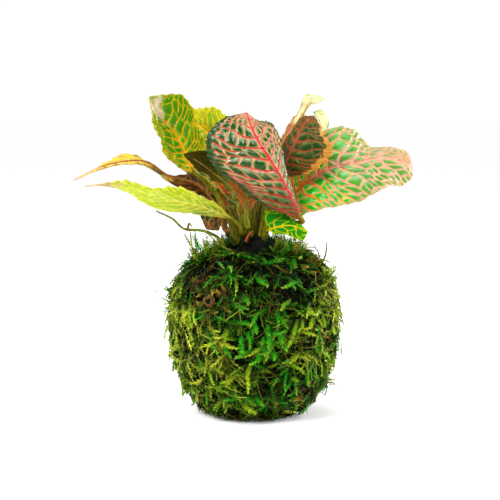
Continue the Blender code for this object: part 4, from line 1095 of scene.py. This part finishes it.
# Dry brown flakes on the front: place across and up, length and tone
MOSS_FLAKES = [
    (35, 40, 4.5, 0.02), (37, 45, 4, 0.1), (34, 35, 4.5, 0.05), (38.5, 49, 3.5, 0.12), (33, 43, 3.5, 0.16),
    (-25, 68, 4, 0.08), (-19, 70, 4.5, 0.14), (-17, 66, 4, 0.04), (-26, 61, 3.5, 0.12),
    (-14, 68, 3.5, 0.16), (-21, 58, 3.5, 0.1), (23, 79, 4, 0.04), (27, 76, 4.5, 0.12), (31, 72, 4, 0.08),
    (12, 10, 4.5, 0.1), (24, 15, 5, 0.04), (18, 7, 4, 0.12), (27, 19, 4, 0.08), (2, 82, 3.5, 0.14),
    (-33, 30, 3.5, 0.14),
]

# The dried knot in the cover: where it lies on the front, across and up, and its radius
KNOT = (-22.0, 63.5, 2.1)
KNOT_TONES = ("241604", "6c5014", "48240a")

# Broad bright tongues of moss on the front: foot and tip across and up, width and tone
TONGUES = [
    (-2, 34, -5, 19.5, 2.8, 0.8), (21, 55, 17, 42, 2.8, 0.72), (31, 42, 37.5, 28, 4.4, 0.75),
    (29, 41, 32, 36, 2.5, 0.6), (-35, 60, -34, 54, 2.5, 0.8), (-32, 48, -29, 42, 2.8, 0.85),
    (-13.5, 51, -13, 45, 4.4, 0.72), (-3, 50, -1.5, 42, 3.2, 0.5), (3.5, 44, 5.5, 37, 2.8, 0.52),
    (-7, 43.5, -5.5, 39, 3.2, 0.5), (-22.5, 30.5, -20, 22, 2.5, 0.75), (-23.5, 50, -16, 37.5, 2.2, 0.4),
    (-7, 13.5, 1, 8, 3.8, 0.8), (-11, 18.5, -6, 15, 2.8, 0.65), (-19.5, 83, -11, 84, 2.2, 0.65),
    (-7.5, 84, 0.5, 82, 3.8, 0.5), (6, 85, 11.5, 82, 2.8, 0.6), (0.5, 75, 6.5, 71, 3.2, 0.55),
    (22.5, 73, 14, 68.5, 2.5, 0.6), (17.5, 64.5, 11.5, 60.5, 2.5, 0.7), (25.5, 60, 28.5, 56, 3.8, 0.85),
    (31, 64, 33.5, 60, 3.8, 0.75), (-23, 18, -22, 10.5, 2.5, 0.6), (-18.5, 18, -13.5, 11, 2.5, 0.35),
    (14, 8, 20, 6.5, 1.9, 0.95), (33.5, 25, 30, 19, 1.4, 0.7), (17.5, 25.5, 21.5, 24, 3.2, 0.7),
    (41, 29.5, 42, 25, 2.2, 0.7), (42.5, 48, 43, 40, 2.5, 0.8), (0.5, 16, 4, 11.5, 3.2, 0.55),
    (8, 48.5, 6.5, 41.5, 3.8, 0.5), (-30, 57, -27.5, 52.5, 2.2, 0.45), (-8.5, 73, -8, 69, 1.9, 0.8),
    (-5.5, 67, -2, 63, 3.2, 0.6), (-40.5, 57.5, -39.5, 54, 2.5, 0.75), (-42, 40.5, -40.5, 34.5, 2.5, 0.8),
    (11.5, 58, 15, 51, 2.5, 0.55), (-13.5, 76, -8.5, 74, 2.5, 0.55), (19, 82, 20, 77.5, 2.2, 0.5),
    (0, 55, 1, 49, 3.0, 0.5), (6, 53, 7.5, 47, 2.8, 0.5), (12, 50, 12.5, 44, 3.2, 0.52),
    (1.5, 40, 2.5, 34.5, 2.6, 0.5), (9, 41, 10, 35.5, 3.0, 0.5), (-6, 48, -7, 42.5, 2.6, 0.48),
    (14, 45, 16, 40, 2.8, 0.56), (5, 47, 3, 43, 2.4, 0.46), (25, 33, 26.5, 26, 2.6, 0.72),
    (27, 30, 28, 24, 2.2, 0.66), (39, 36, 38, 29, 2.6, 0.85), (38.5, 50, 39.5, 44, 2.6, 0.8),
    (24, 55, 22, 48, 2.8, 0.78), (33, 56, 34.5, 50, 2.4, 0.75), (-37, 30, -35, 24, 2.2, 0.8),
    (-38, 45, -38, 38, 2.2, 0.8), (-27.5, 34, -23.5, 28.5, 2.8, 0.6), (-37, 53, -34.5, 49.5, 2.5, 0.75),
    (-15, 42, -11, 37, 2.5, 0.5),
]

# Bare runners and twigs: radius at the foot, and points along each
RUNNERS = [
    (1.0, [(-14, -14, 80), (-17, -15, 92), (-26, -15, 97), (-36, -15, 98), (-42, -15, 103), (-50, -15, 107)]),
    (0.6, [(-34, -15, 97.7), (-33, -16, 101), (-31, -16.5, 99)]),
    (0.7, [(-27, -12, 78), (-31, -16, 88), (-31, -15, 96)]),
    (0.7, [(30, -10, 76), (36, -12, 82), (37, -12, 90)]),
    (0.65, [(24, -10, 78), (33, -12, 83), (30, -12, 89)]),
    (0.7, [(-10, -14, 85), (-14, -18, 88), (-20, -18, 93), (-24, -16, 97)]),
    (0.4, [(12, -16, 86), (16, -19, 90), (15, -18, 94)]),
    (0.4, [(-40, -14, 62), (-45, -14, 63), (-47, -13, 65)]),
]
RUNNER_TONES = ("3c4a0c", "86922a", "5e3c14")


def on_front(x, z):
    """Points on the front of the moss's outside at these places, and the outward way there."""
    radius, height, out, up = moss_outside(np.linspace(0, 1, 600))
    radius, out, up = [np.interp(z, height, values) for values in (radius, out, up)]
    y = -np.sqrt(np.maximum(radius**2 - x**2, 1.0))
    level = np.hypot(x, y)
    return np.stack([x, y, z], 1), unit(np.stack([out * x / level, out * y / level, up], 1))


def patch_weight(feet, x, z, radius):
    """How much a round patch of the front counts at each place, 1 in its middle."""
    far = np.hypot(feet[:, 0] - x, feet[:, 2] - z)
    return np.where(feet[:, 1] < 0, np.exp(-((far / radius) ** 2)), 0.0)


def moss_tone(feet):
    """The tone of the cover at each place: slow patches of age and light, with those that the front shows."""
    tone = 0.66 + 0.12 * lumps(feet, [(38, 1.0), (17, 0.8)])
    # The bright patches at the front's sides are partly painted light
    for x, z, radius, value in MOSS_PATCHES:
        weight = patch_weight(feet, x, z, radius) * 0.92
        tone = tone * (1 - weight) + value * weight
    return tone


def moss_shade(feet):
    """How much painted shade darkens the cover: the shaded patches of the front, and low down near the floor.
    """
    shade = 0.95 * smooth(14, 3, feet[:, 2])
    for x, z, radius, value in SHADED_PATCHES:
        shade = np.maximum(shade, patch_weight(feet, x, z, radius) * value)
    return shade


def clump_height(feet):
    """How far each place stands inside a clump (above 0) or in the gap between clumps (below 0)."""
    return np.clip(lumps(feet + 57.0, [(12, 1.0), (6.5, 0.8)]), -1.6, 1.6)


def scatter(rng, count):
    """Feet on the moss's outside, even by area, with the outward way at each."""
    t = np.linspace(0, 1, 400)
    radius, height, _, _ = moss_outside(t)
    strips = np.hypot(np.diff(radius), np.diff(height)) * (radius[1:] + radius[:-1])
    area = np.concatenate([[0], np.cumsum(strips)])
    share = (np.arange(count) + rng.uniform(0, 1, count)) / count
    where = np.interp(share * area[-1], area, t)
    angle = np.arange(count) * GOLDEN_ANGLE + rng.uniform(-0.5, 0.5, count)
    radius, height, out, up = moss_outside(where)
    return around(radius, angle, height), unit(around(out, angle, up))


def lay_along(rng, outward, spread):
    """A way along the surface at each foot: down on the whole, and turned by up to the spread."""
    down = np.broadcast_to(np.array([0.0, 0.0, -1.0]), outward.shape)
    down = unit(down - np.sum(down * outward, 1)[:, None] * outward + 1e-4)
    across = np.cross(outward, down)
    turn = rng.uniform(-1, 1, len(outward)) * spread
    return unit(down * np.cos(turn)[:, None] + across * np.sin(turn)[:, None])


def grow_tufts(rng, count, width, mat):
    """The dark lower layer of small leaflets, with painted shade darkest in the gaps between clumps."""
    feet, outward = scatter(rng, count)
    clump = clump_height(feet)
    tone = moss_tone(feet) - 0.06 + rng.normal(0, 0.16, count)
    deep = np.clip(0.9 * smooth(0.9, -0.7, clump) + moss_shade(feet), 0, 0.95)
    feet = feet + outward * (0.5 * clump - 1.2)[:, None]
    grow_shoots("moss_tufts", feather_shape(3), rng, feet, outward, lay_along(rng, outward, 3.1),
                rng.uniform(2.2, 5.2, count), width * rng.uniform(0.35, 0.75, count),
                rng.uniform(-0.1, 1.1, count), tone, mat, deep=deep)


def grow_green(rng, count, width, mat):
    """The green middle layer, on the clumps more than between them."""
    feet, outward = scatter(rng, count)
    clump = clump_height(feet)
    keep = clump + rng.uniform(-0.7, 0.7, count) > -0.35
    feet, outward, clump = feet[keep], outward[keep], clump[keep]
    count = len(feet)
    tone = moss_tone(feet) + 0.04 * clump + rng.normal(0, 0.13, count)
    # Painted shade: darker between clumps, in the shaded patches and low down, and darker at random
    deep = 0.75 * smooth(0.5, -0.9, clump) + rng.normal(0.26, 0.2, count) + 0.8 * moss_shade(feet)
    length = rng.uniform(4.0, 10.0, count)
    spread = 1.9 - 1.2 * smooth(-18, -36, feet[:, 0])
    feet = feet + outward * (0.9 * clump - 1.0)[:, None]
    grow_shoots("moss_shoots_green", feather_shape(8, 0.14), rng, feet, outward,
                lay_along(rng, outward, spread), length, width * rng.uniform(0.6, 1.35, count),
                rng.uniform(0.0, 0.55, count), tone, mat, 0.6, np.clip(deep, 0, 0.92))


def grow_bright(rng, count, width, mat):
    """The outer layer of longer shoots, where the cover is light."""
    feet, outward = scatter(rng, count)
    tone = moss_tone(feet)
    clump = clump_height(feet)
    keep = (tone + rng.uniform(-0.3, 0.3, count) > 0.42) & (clump + rng.uniform(-0.5, 0.5, count) > 0)
    feet, outward, tone, clump = feet[keep], outward[keep], tone[keep], clump[keep]
    count = len(feet)
    tone = tone + 0.06 + rng.normal(0, 0.1, count)
    feet = feet + outward * (0.8 * clump)[:, None]
    # Painted shade: darker in the shaded patches and low down, and a little at random
    deep = np.clip(rng.normal(0.12, 0.15, count) + 0.7 * moss_shade(feet), 0, 0.9)
    length = rng.uniform(6.0, 13.0, count)
    grow_shoots("moss_shoots_bright", feather_shape(10, 0.2), rng, feet - outward * 0.6, outward,
                lay_along(rng, outward, 1.4), length, width * rng.uniform(0.7, 1.5, count),
                rng.uniform(0.1, 0.6, count), tone, mat, 0.5, deep)


def grow_threads(rng, count, mat):
    """Thin bare runners among the shoots."""
    feet, outward = scatter(rng, count)
    grow_shoots("moss_threads", shoot_shape(7, 1.0), rng, feet, outward, lay_along(rng, outward, 1.4),
                rng.uniform(6, 17, count), rng.uniform(0.3, 0.6, count), rng.uniform(0.05, 0.4, count),
                moss_tone(feet) + rng.normal(0, 0.25, count), mat, 0.6)


def grow_collar(rng, count, width, mat):
    """Shoots that stand up round the stems, with the front of the mouth left open."""
    angle = rng.uniform(0, 2 * math.pi, count)
    radius = rng.uniform(10.5, 25, count)
    front = smooth(0.35, 0.8, -np.sin(angle)) * smooth(26, 19, radius)
    keep = rng.uniform(0, 1, count) > 0.95 * front
    angle, radius = angle[keep], radius[keep]
    count = len(angle)
    height = np.interp(radius, [10, 14, 18, 25], [88.5, 88.5, 87, 84]) - 1
    feet = around(radius, angle, height)
    outward = unit(around(1.0, angle, rng.uniform(-0.3, 0.2, count)))
    along = unit(np.stack([rng.normal(0, 0.55, count), rng.normal(0, 0.55, count), np.ones(count)], 1)
                 + outward * np.interp(radius, [10, 25], [-0.3, 1.0])[:, None])
    outward = unit(outward - np.sum(outward * along, 1)[:, None] * along)
    tone = moss_tone(feet) + rng.normal(0, 0.15, count)
    # Painted shade under the leaves, at the front of the mouth, and some darkening at random
    painted_shade_under_leaves = smooth(0.2, 0.7, -np.sin(angle)) * smooth(15, 9, abs(feet[:, 0]))
    deep = np.clip(rng.uniform(0, 0.5, count) + painted_shade_under_leaves, 0, 0.9)
    length = np.interp(radius, [10, 16, 25], [7.5, 6.5, 4.5]) * rng.uniform(0.5, 1.15, count)
    grow_shoots("moss_collar", feather_shape(11), rng, feet, outward, along, length,
                width * rng.uniform(0.4, 0.9, count), rng.uniform(-0.2, 0.3, count), tone, mat, deep=deep)


def grow_fronds(rng, width, mat):
    """The feathery tufts that stand out."""
    feet, outward, along, length, tone = [], [], [], [], []
    for place, way, number, size, shade in MOSS_TUFTS:
        for _ in range(number):
            foot = np.array(place) + rng.normal(0, 1, 3) * (2.6, 2.0, 1.2)
            ahead = unit(np.array(way) + rng.normal(0, 0.28, 3))
            away = unit(np.array([foot[0], foot[1], 0.0]))
            feet.append(foot)
            along.append(ahead)
            outward.append(unit(away - (away @ ahead) * ahead))
            length.append(size * rng.uniform(0.6, 1.1))
            tone.append(shade + rng.normal(0, 0.1))
    feet, outward, along, length, tone = map(np.array, (feet, outward, along, length, tone))
    grow_shoots("moss_fronds", feather_shape(14), rng, feet, outward, along, length,
                width * rng.uniform(0.8, 1.3, len(feet)), rng.uniform(-0.2, 0.2, len(feet)), tone, mat, 0.8)


def grow_tongues(rng, mat):
    """The broad bright tongues on the front."""
    spots = np.array(TONGUES)
    feet, outward = on_front(spots[:, 0], spots[:, 1])
    ends, _ = on_front(spots[:, 2], spots[:, 3])
    reach = ends - feet
    along = unit(reach - np.sum(reach * outward, 1)[:, None] * outward)
    grow_shoots("moss_tongues", feather_shape(16, 0.2), rng, feet + outward * 1.2, outward, along,
                np.linalg.norm(reach, axis=1) * 1.1, spots[:, 4] * 1.15, rng.uniform(0.1, 0.3, len(spots)),
                spots[:, 5], mat, 0.15)


def grow_flakes(rng, mat):
    """The dry brown flakes on the front."""
    spots = np.array(MOSS_FLAKES)
    feet, outward = on_front(spots[:, 0], spots[:, 1])
    count = len(spots)
    grow_shoots("moss_flakes", shoot_shape(5, 0.85), rng, feet + outward * 1.0, outward,
                lay_along(rng, outward, 3.1), spots[:, 2], rng.uniform(1.8, 3.2, count),
                rng.uniform(0.2, 0.7, count), spots[:, 3], mat, 1.0)


# Stage

def add_floor(colour):
    """The plain floor: a painted white glow to the camera, faint near the plant so that its shadow shows
    there.
    """
    bpy.ops.object.select_all(action="DESELECT")
    bpy.ops.mesh.primitive_plane_add(size=12)
    floor = bpy.context.active_object
    floor.name = "floor"
    mat, shader, w = new_material("pale_floor")
    haze = w.noise(3.0, 2.0, 0.55)
    seen = w.add("ShaderNodeLightPath", output="Is Camera Ray")
    far = w.add("ShaderNodeVectorMath", {0: w.place()}, "Value", operation="LENGTH")
    w.fill(shader, {"Base Color": w.mix(haze * 0.02, (*colour, 1.0), "ffffff"),
                    "Roughness": 0.9, "Specular IOR Level": 0.1, "Emission Color": "ffffff",
                    "Emission Strength": seen * w.step(far, 0.04, 0.13, 0.1, 0.75)})
    floor.data.materials.append(mat)


def add_light(scene, sky):
    """The lamps, and a sky that is white to the camera and gives soft light."""
    world = bpy.data.worlds.new("soft_light")
    world.use_nodes = True
    w = Wiring(world.node_tree)
    seen = w.add("ShaderNodeLightPath", output="Is Camera Ray")
    w.fill(world.node_tree.nodes["Background"], {"Color": "ffffff", "Strength": seen * (1.02 - sky) + sky})
    scene.world = world
    for name, place, size, power in LAMPS:
        light = bpy.data.lights.new(name, "AREA")
        light.size = size
        light.energy = power
        lamp = bpy.data.objects.new(name, light)
        lamp.location = place
        lamp.rotation_euler = (CAMERA_TARGET - Vector(place)).to_track_quat("-Z", "Y").to_euler()
        bpy.context.collection.objects.link(lamp)


def add_camera(scene, distance):
    """The camera, which stands and sees as the photograph's does."""
    lens = bpy.data.cameras.new("camera")
    lens.sensor_width = SENSOR_WIDTH
    lens.lens = SENSOR_WIDTH * PHOTO_DISTANCE / PIXEL / PHOTO_WIDTH
    lens.clip_start = 0.05
    lens.clip_end = 50.0
    camera = bpy.data.objects.new("camera", lens)
    away = Vector((0.0, -math.cos(CAMERA_ELEVATION), math.sin(CAMERA_ELEVATION)))
    camera.location = CAMERA_TARGET + away * distance
    camera.rotation_euler = (math.radians(90) - CAMERA_ELEVATION, 0.0, 0.0)
    bpy.context.collection.objects.link(camera)
    scene.camera = camera
    scene.view_settings.view_transform = "Standard"


# Operators

class KOKEDAMA_PG_leaves(bpy.types.PropertyGroup):
    """Sizes of the leaves."""

    thickness: FloatProperty(name="Blade Thickness", description="Thickness of a leaf between its veins",
                             default=BLADE_THICKNESS * MM, min=0.0002, max=0.002, unit="LENGTH", precision=5)


def count_of(title, text, count):
    """A number of pieces that the panel can change."""
    return IntProperty(name=title, description=text, default=count, min=0)


class KOKEDAMA_PG_moss(bpy.types.PropertyGroup):
    """Number and size of the moss shoots, and number of crumbs."""

    tuft_count: count_of("Tufts", "Small leaflets in the dark lower layer", 13000)
    green_count: count_of("Green Shoots", "Shoots in the green middle layer", 5600)
    bright_count: count_of("Bright Shoots", "Longer shoots in the outer layer", 1900)
    thread_count: count_of("Threads", "Thin bare runners among the shoots", 700)
    crumb_count: count_of("Crumbs", "Loose crumbs on top of the soil", 520)
    collar_count: count_of("Collar Shoots", "Shoots that stand up round the stems", 900)
    width: FloatProperty(name="Shoot Width", description="Mean width of a moss shoot", default=0.0023,
                         min=0.0005, max=0.01, unit="LENGTH", precision=5)
    seed: IntProperty(name="Seed", description="Another number lays the shoots another way", default=5)


class KOKEDAMA_PG_stage(bpy.types.PropertyGroup):
    """Camera, floor and light."""

    distance: FloatProperty(name="Camera Distance", description="From the camera to the middle of the plant",
                            default=PHOTO_DISTANCE * MM, min=0.3, max=5.0, unit="LENGTH")
    floor_colour: FloatVectorProperty(name="Floor Colour", description="Colour of the plain floor",
                                      default=(0.93, 0.93, 0.93), subtype="COLOR", min=0.0, max=1.0)
    light: FloatProperty(name="Sky Strength", description="Strength of the soft light from all round",
                         default=0.25, min=0.0, max=5.0)


class KOKEDAMA_OT_add_leaves(bpy.types.Operator):
    """Add the nineteen leaves, each with its stalk"""

    bl_idname = "kokedama.add_leaves"
    bl_label = "Add Leaves"

    def execute(self, context):
        thickness = context.scene.kokedama_leaves.thickness / MM
        for name, leaf in LEAVES.items():
            make_leaf(name, leaf, thickness)
        return {"FINISHED"}


class KOKEDAMA_OT_add_stems(bpy.types.Operator):
    """Add the stems and the dried stub that stand in the soil"""

    bl_idname = "kokedama.add_stems"
    bl_label = "Add Stems"

    def execute(self, context):
        for name, spec in STEMS.items():
            make_stem(name, spec["points"], spec["radius"])
        stub = tube(curve_point(STUB_POINTS, np.linspace(0, 1, 20)), np.linspace(1.25, 0.7, 20), 8)
        stub.data.materials.append(stalk_material("dried_stub", *STUB_TONES))
        finish_piece(stub, "dried_stub_brown", ["dried_stub"])
        return {"FINISHED"}


class KOKEDAMA_OT_add_soil(bpy.types.Operator):
    """Add the soil ball with its crumbly top"""

    bl_idname = "kokedama.add_soil"
    bl_label = "Add Soil"

    def execute(self, context):
        # The outside of the moss less its thickness, closed by the heaped top
        outside = zip(*moss_outside(np.linspace(0.05, 0.93, 24)))
        profile = [(0, MOSS_THICKNESS)]
        profile += [(max(r - o * MOSS_THICKNESS, 0), z - u * MOSS_THICKNESS) for r, z, o, u in outside]
        profile += [(14.2, 84.0), (13.2, 86.6), (11, 89.0), (8, 91.0), (4, 92.2), (0, SOIL_TOP + 1.6)]
        soil = spun("soil", profile, 72)
        points = read_points(soil) / MM
        points[:, 2] += lumps(points, [(9, 0.5), (4, 0.35), (2.2, 0.2)]) * smooth(82, 86, points[:, 2])
        write_points(soil, points * MM)
        shade_smooth(soil)
        soil.data.materials.append(soil_material())
        finish_piece(soil, "soil_ball_crumbly", ["soil_ball"])
        return {"FINISHED"}


class KOKEDAMA_OT_add_crumbs(bpy.types.Operator):
    """Add loose crumbs of soil and bark round the stems"""

    bl_idname = "kokedama.add_crumbs"
    bl_label = "Add Crumbs"

    def execute(self, context):
        rng = np.random.default_rng(CRUMB_SEED)
        bpy.ops.object.select_all(action="DESELECT")
        bpy.ops.mesh.primitive_ico_sphere_add(subdivisions=2, radius=1.0)
        seed = context.active_object
        ball = read_points(seed)
        faces = np.array([list(p.vertices) for p in seed.data.polygons])
        bpy.data.objects.remove(seed)
        count = context.scene.kokedama_moss.crumb_count

        # They lie over the mouth of the moss, and follow the heaped soil
        angle = rng.uniform(0, 2 * math.pi, count)
        radius = MOUTH_RADIUS * np.sqrt(rng.uniform(0.02, 1, count))
        height = np.interp(radius, [0, 4, 8, 12, MOUTH_RADIUS], [92.5, 92.0, 90.3, 87.6, 85.5])
        middle = around(radius, angle, height)
        size = rng.uniform(0.35, 1.3, (count, 1)) * rng.uniform(0.6, 1.2, (count, 3))
        rough = 1 + rng.normal(0, 0.14, (count, len(ball), 1))
        points = middle[:, None, :] + ball[None] * size[:, None, :] * rough
        index = faces[None] + (np.arange(count) * len(ball))[:, None, None]
        crumbs = mesh_of("soil_crumbs", points.reshape(-1, 3), index.reshape(-1, 3), {}, soil_material())
        finish_piece(crumbs, "soil_crumbs")
        return {"FINISHED"}


class KOKEDAMA_OT_add_moss_mat(bpy.types.Operator):
    """Add the dark mat that the moss shoots grow from"""

    bl_idname = "kokedama.add_moss_mat"
    bl_label = "Add Moss Mat"

    def execute(self, context):
        # Flat underneath, then up just under the outside, over the mouth and down the inner wall
        outside = zip(*moss_outside(np.linspace(0, 1, 90)))
        profile = [(0, 0.4), (10, 0.4), (17, 0.4)]
        profile += [(r - o * MAT_DEPTH, max(z - u * MAT_DEPTH, 0.5)) for r, z, o, u in outside]
        profile += [(15.2, 84.5), (15.6, 83), (17, 81), (25, 77.5), (32, 70), (36, 60), (37, 46), (34, 28),
                    (26, 11), (16, 6.3), (0, 6.3)]
        mat = spun("mat", profile, 180)
        points = read_points(mat) / MM

        # Only the outside is lumpy, and nothing sinks into the floor
        inner_wall = np.interp(points[:, 2], [0, 6, 11, 28, 46, 60, 70, 78, 85],
                               [99, 17, 27, 35, 38, 37, 33, 26, 16])
        outer = np.hypot(points[:, 0], points[:, 1]) > inner_wall
        away = unit(points - np.array([0, 0, BALL_MIDDLE]))
        rise = lumps(points, [(14, 0.8), (6, 0.6), (3, 0.5), (1.6, 0.35)])
        rise = np.where(outer & (points[:, 2] > 1.0), rise, 0)
        points = points + away * rise[:, None]
        points[:, 2] = np.maximum(points[:, 2], 0.2)
        write_points(mat, points * MM)
        shade_smooth(mat)
        mat.data.materials.append(moss_mat_material())
        finish_piece(mat, "moss_mat", ["moss_cover"])
        return {"FINISHED"}


class KOKEDAMA_OT_add_moss_shoots(bpy.types.Operator):
    """Add the layers of moss shoots over the mat"""

    bl_idname = "kokedama.add_moss_shoots"
    bl_label = "Add Moss Shoots"

    def execute(self, context):
        group = context.scene.kokedama_moss
        rng = np.random.default_rng(group.seed)
        width = group.width / MM
        dark, green, bright, bare = [shoot_material(name, *look) for name, look in MOSS_LOOKS.items()]
        grow_tufts(rng, group.tuft_count, width, dark)
        grow_green(rng, group.green_count, width, green)
        grow_bright(rng, group.bright_count, width, bright)
        grow_threads(rng, group.thread_count, bare)
        grow_collar(rng, group.collar_count, width, green)
        grow_fronds(rng, width, bright)
        grow_tongues(rng, bright)
        grow_flakes(rng, bright)
        return {"FINISHED"}


class KOKEDAMA_OT_add_knot(bpy.types.Operator):
    """Add the dried knot with its dark hole on the front of the moss"""

    bl_idname = "kokedama.add_knot"
    bl_label = "Add Knot"

    def execute(self, context):
        x, z, radius = KNOT
        place, outward = on_front(np.array([x]), np.array([z]))
        turn = Vector(outward[0]).to_track_quat("Z", "Y").to_matrix()
        bpy.ops.object.select_all(action="DESELECT")
        bpy.ops.mesh.primitive_torus_add(major_radius=1.0, minor_radius=0.42, major_segments=36,
                                         minor_segments=14)
        knot = context.active_object
        bpy.ops.mesh.primitive_uv_sphere_add(segments=24, ring_count=12, radius=0.75)
        hole = context.active_object
        hole.scale = (1.0, 1.0, 0.35)
        hole.data.materials.append(soil_material())
        only(hole)
        bpy.ops.object.transform_apply(location=False, rotation=False, scale=True)
        knot.data.materials.append(stalk_material("dry_knot", *KNOT_TONES))
        join(knot, hole)
        points = read_points(knot)
        points = points * (1 + 0.16 * lumps(points, [(1.6, 1.0), (0.8, 0.6)]))[:, None] * radius
        points = points @ np.array(turn).T + place[0] + outward[0] * 0.9
        write_points(knot, points * MM)
        shade_smooth(knot)
        finish_piece(knot, "moss_knot")
        return {"FINISHED"}


class KOKEDAMA_OT_add_runners(bpy.types.Operator):
    """Add the bare runners and twigs that wander out of the moss"""

    bl_idname = "kokedama.add_runners"
    bl_label = "Add Runners"

    def execute(self, context):
        rng = np.random.default_rng(RUNNER_SEED)
        t = np.linspace(0, 1, 36)
        pieces = []
        for radius, points in RUNNERS:
            path = curve_point(points, t)
            path = path + np.cumsum(rng.normal(0, 0.07, path.shape), axis=0) * smooth(0, 0.2, t)[:, None]
            radii = radius * (1 - 0.6 * t) * (1 + 0.25 * np.maximum(0, np.cos(t * 31)) ** 8)
            pieces.append(tube(path, radii, 8))
        runners = join(*pieces)
        runners.data.materials.append(stalk_material("runner", *RUNNER_TONES))
        finish_piece(runners, "moss_runners")
        return {"FINISHED"}


class KOKEDAMA_OT_add_stage(bpy.types.Operator):
    """Add the plain floor, the soft light and the camera"""

    bl_idname = "kokedama.add_stage"
    bl_label = "Add Stage"

    def execute(self, context):
        group = context.scene.kokedama_stage
        add_floor(group.floor_colour)
        add_light(context.scene, group.light)
        add_camera(context.scene, group.distance)
        return {"FINISHED"}


class KOKEDAMA_PT_panel(bpy.types.Panel):
    """Lists the pieces of the plant and their sizes"""

    bl_idname = "KOKEDAMA_PT_panel"
    bl_label = "Moss Ball"
    bl_space_type = "VIEW_3D"
    bl_region_type = "UI"
    bl_category = "Moss Ball"

    def draw(self, context):
        scene = context.scene
        for title, group, operators in (("Leaves", scene.kokedama_leaves, LEAF_OPERATORS),
                                        ("Moss and Soil", scene.kokedama_moss, MOSS_OPERATORS),
                                        ("Stage", scene.kokedama_stage, STAGE_OPERATORS)):
            box = self.layout.box()
            box.label(text=title)
            for key in type(group).__annotations__:
                box.prop(group, key)
            for operator in operators:
                box.operator(operator.bl_idname)


LEAF_OPERATORS = (KOKEDAMA_OT_add_leaves, KOKEDAMA_OT_add_stems)
MOSS_OPERATORS = (KOKEDAMA_OT_add_soil, KOKEDAMA_OT_add_crumbs, KOKEDAMA_OT_add_moss_mat,
                  KOKEDAMA_OT_add_moss_shoots, KOKEDAMA_OT_add_knot, KOKEDAMA_OT_add_runners)
STAGE_OPERATORS = (KOKEDAMA_OT_add_stage,)
CLASSES = (KOKEDAMA_PG_leaves, KOKEDAMA_PG_moss, KOKEDAMA_PG_stage, *LEAF_OPERATORS, *MOSS_OPERATORS,
           *STAGE_OPERATORS, KOKEDAMA_PT_panel)


def register():
    """Adds the classes and their settings to Blender."""
    for cls in CLASSES:
        bpy.utils.register_class(cls)
    bpy.types.Scene.kokedama_leaves = PointerProperty(type=KOKEDAMA_PG_leaves)
    bpy.types.Scene.kokedama_moss = PointerProperty(type=KOKEDAMA_PG_moss)
    bpy.types.Scene.kokedama_stage = PointerProperty(type=KOKEDAMA_PG_stage)


def unregister():
    """Takes them away again."""
    del bpy.types.Scene.kokedama_leaves
    del bpy.types.Scene.kokedama_moss
    del bpy.types.Scene.kokedama_stage
    for cls in reversed(CLASSES):
        bpy.utils.unregister_class(cls)


def main():
    """Builds the whole plant and its stage."""
    register()
    bpy.ops.kokedama.add_leaves()
    bpy.ops.kokedama.add_stems()
    bpy.ops.kokedama.add_soil()
    bpy.ops.kokedama.add_crumbs()
    bpy.ops.kokedama.add_moss_mat()
    bpy.ops.kokedama.add_moss_shoots()
    bpy.ops.kokedama.add_knot()
    bpy.ops.kokedama.add_runners()
    bpy.ops.kokedama.add_stage()
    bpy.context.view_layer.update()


if __name__ == "__main__":
    main()
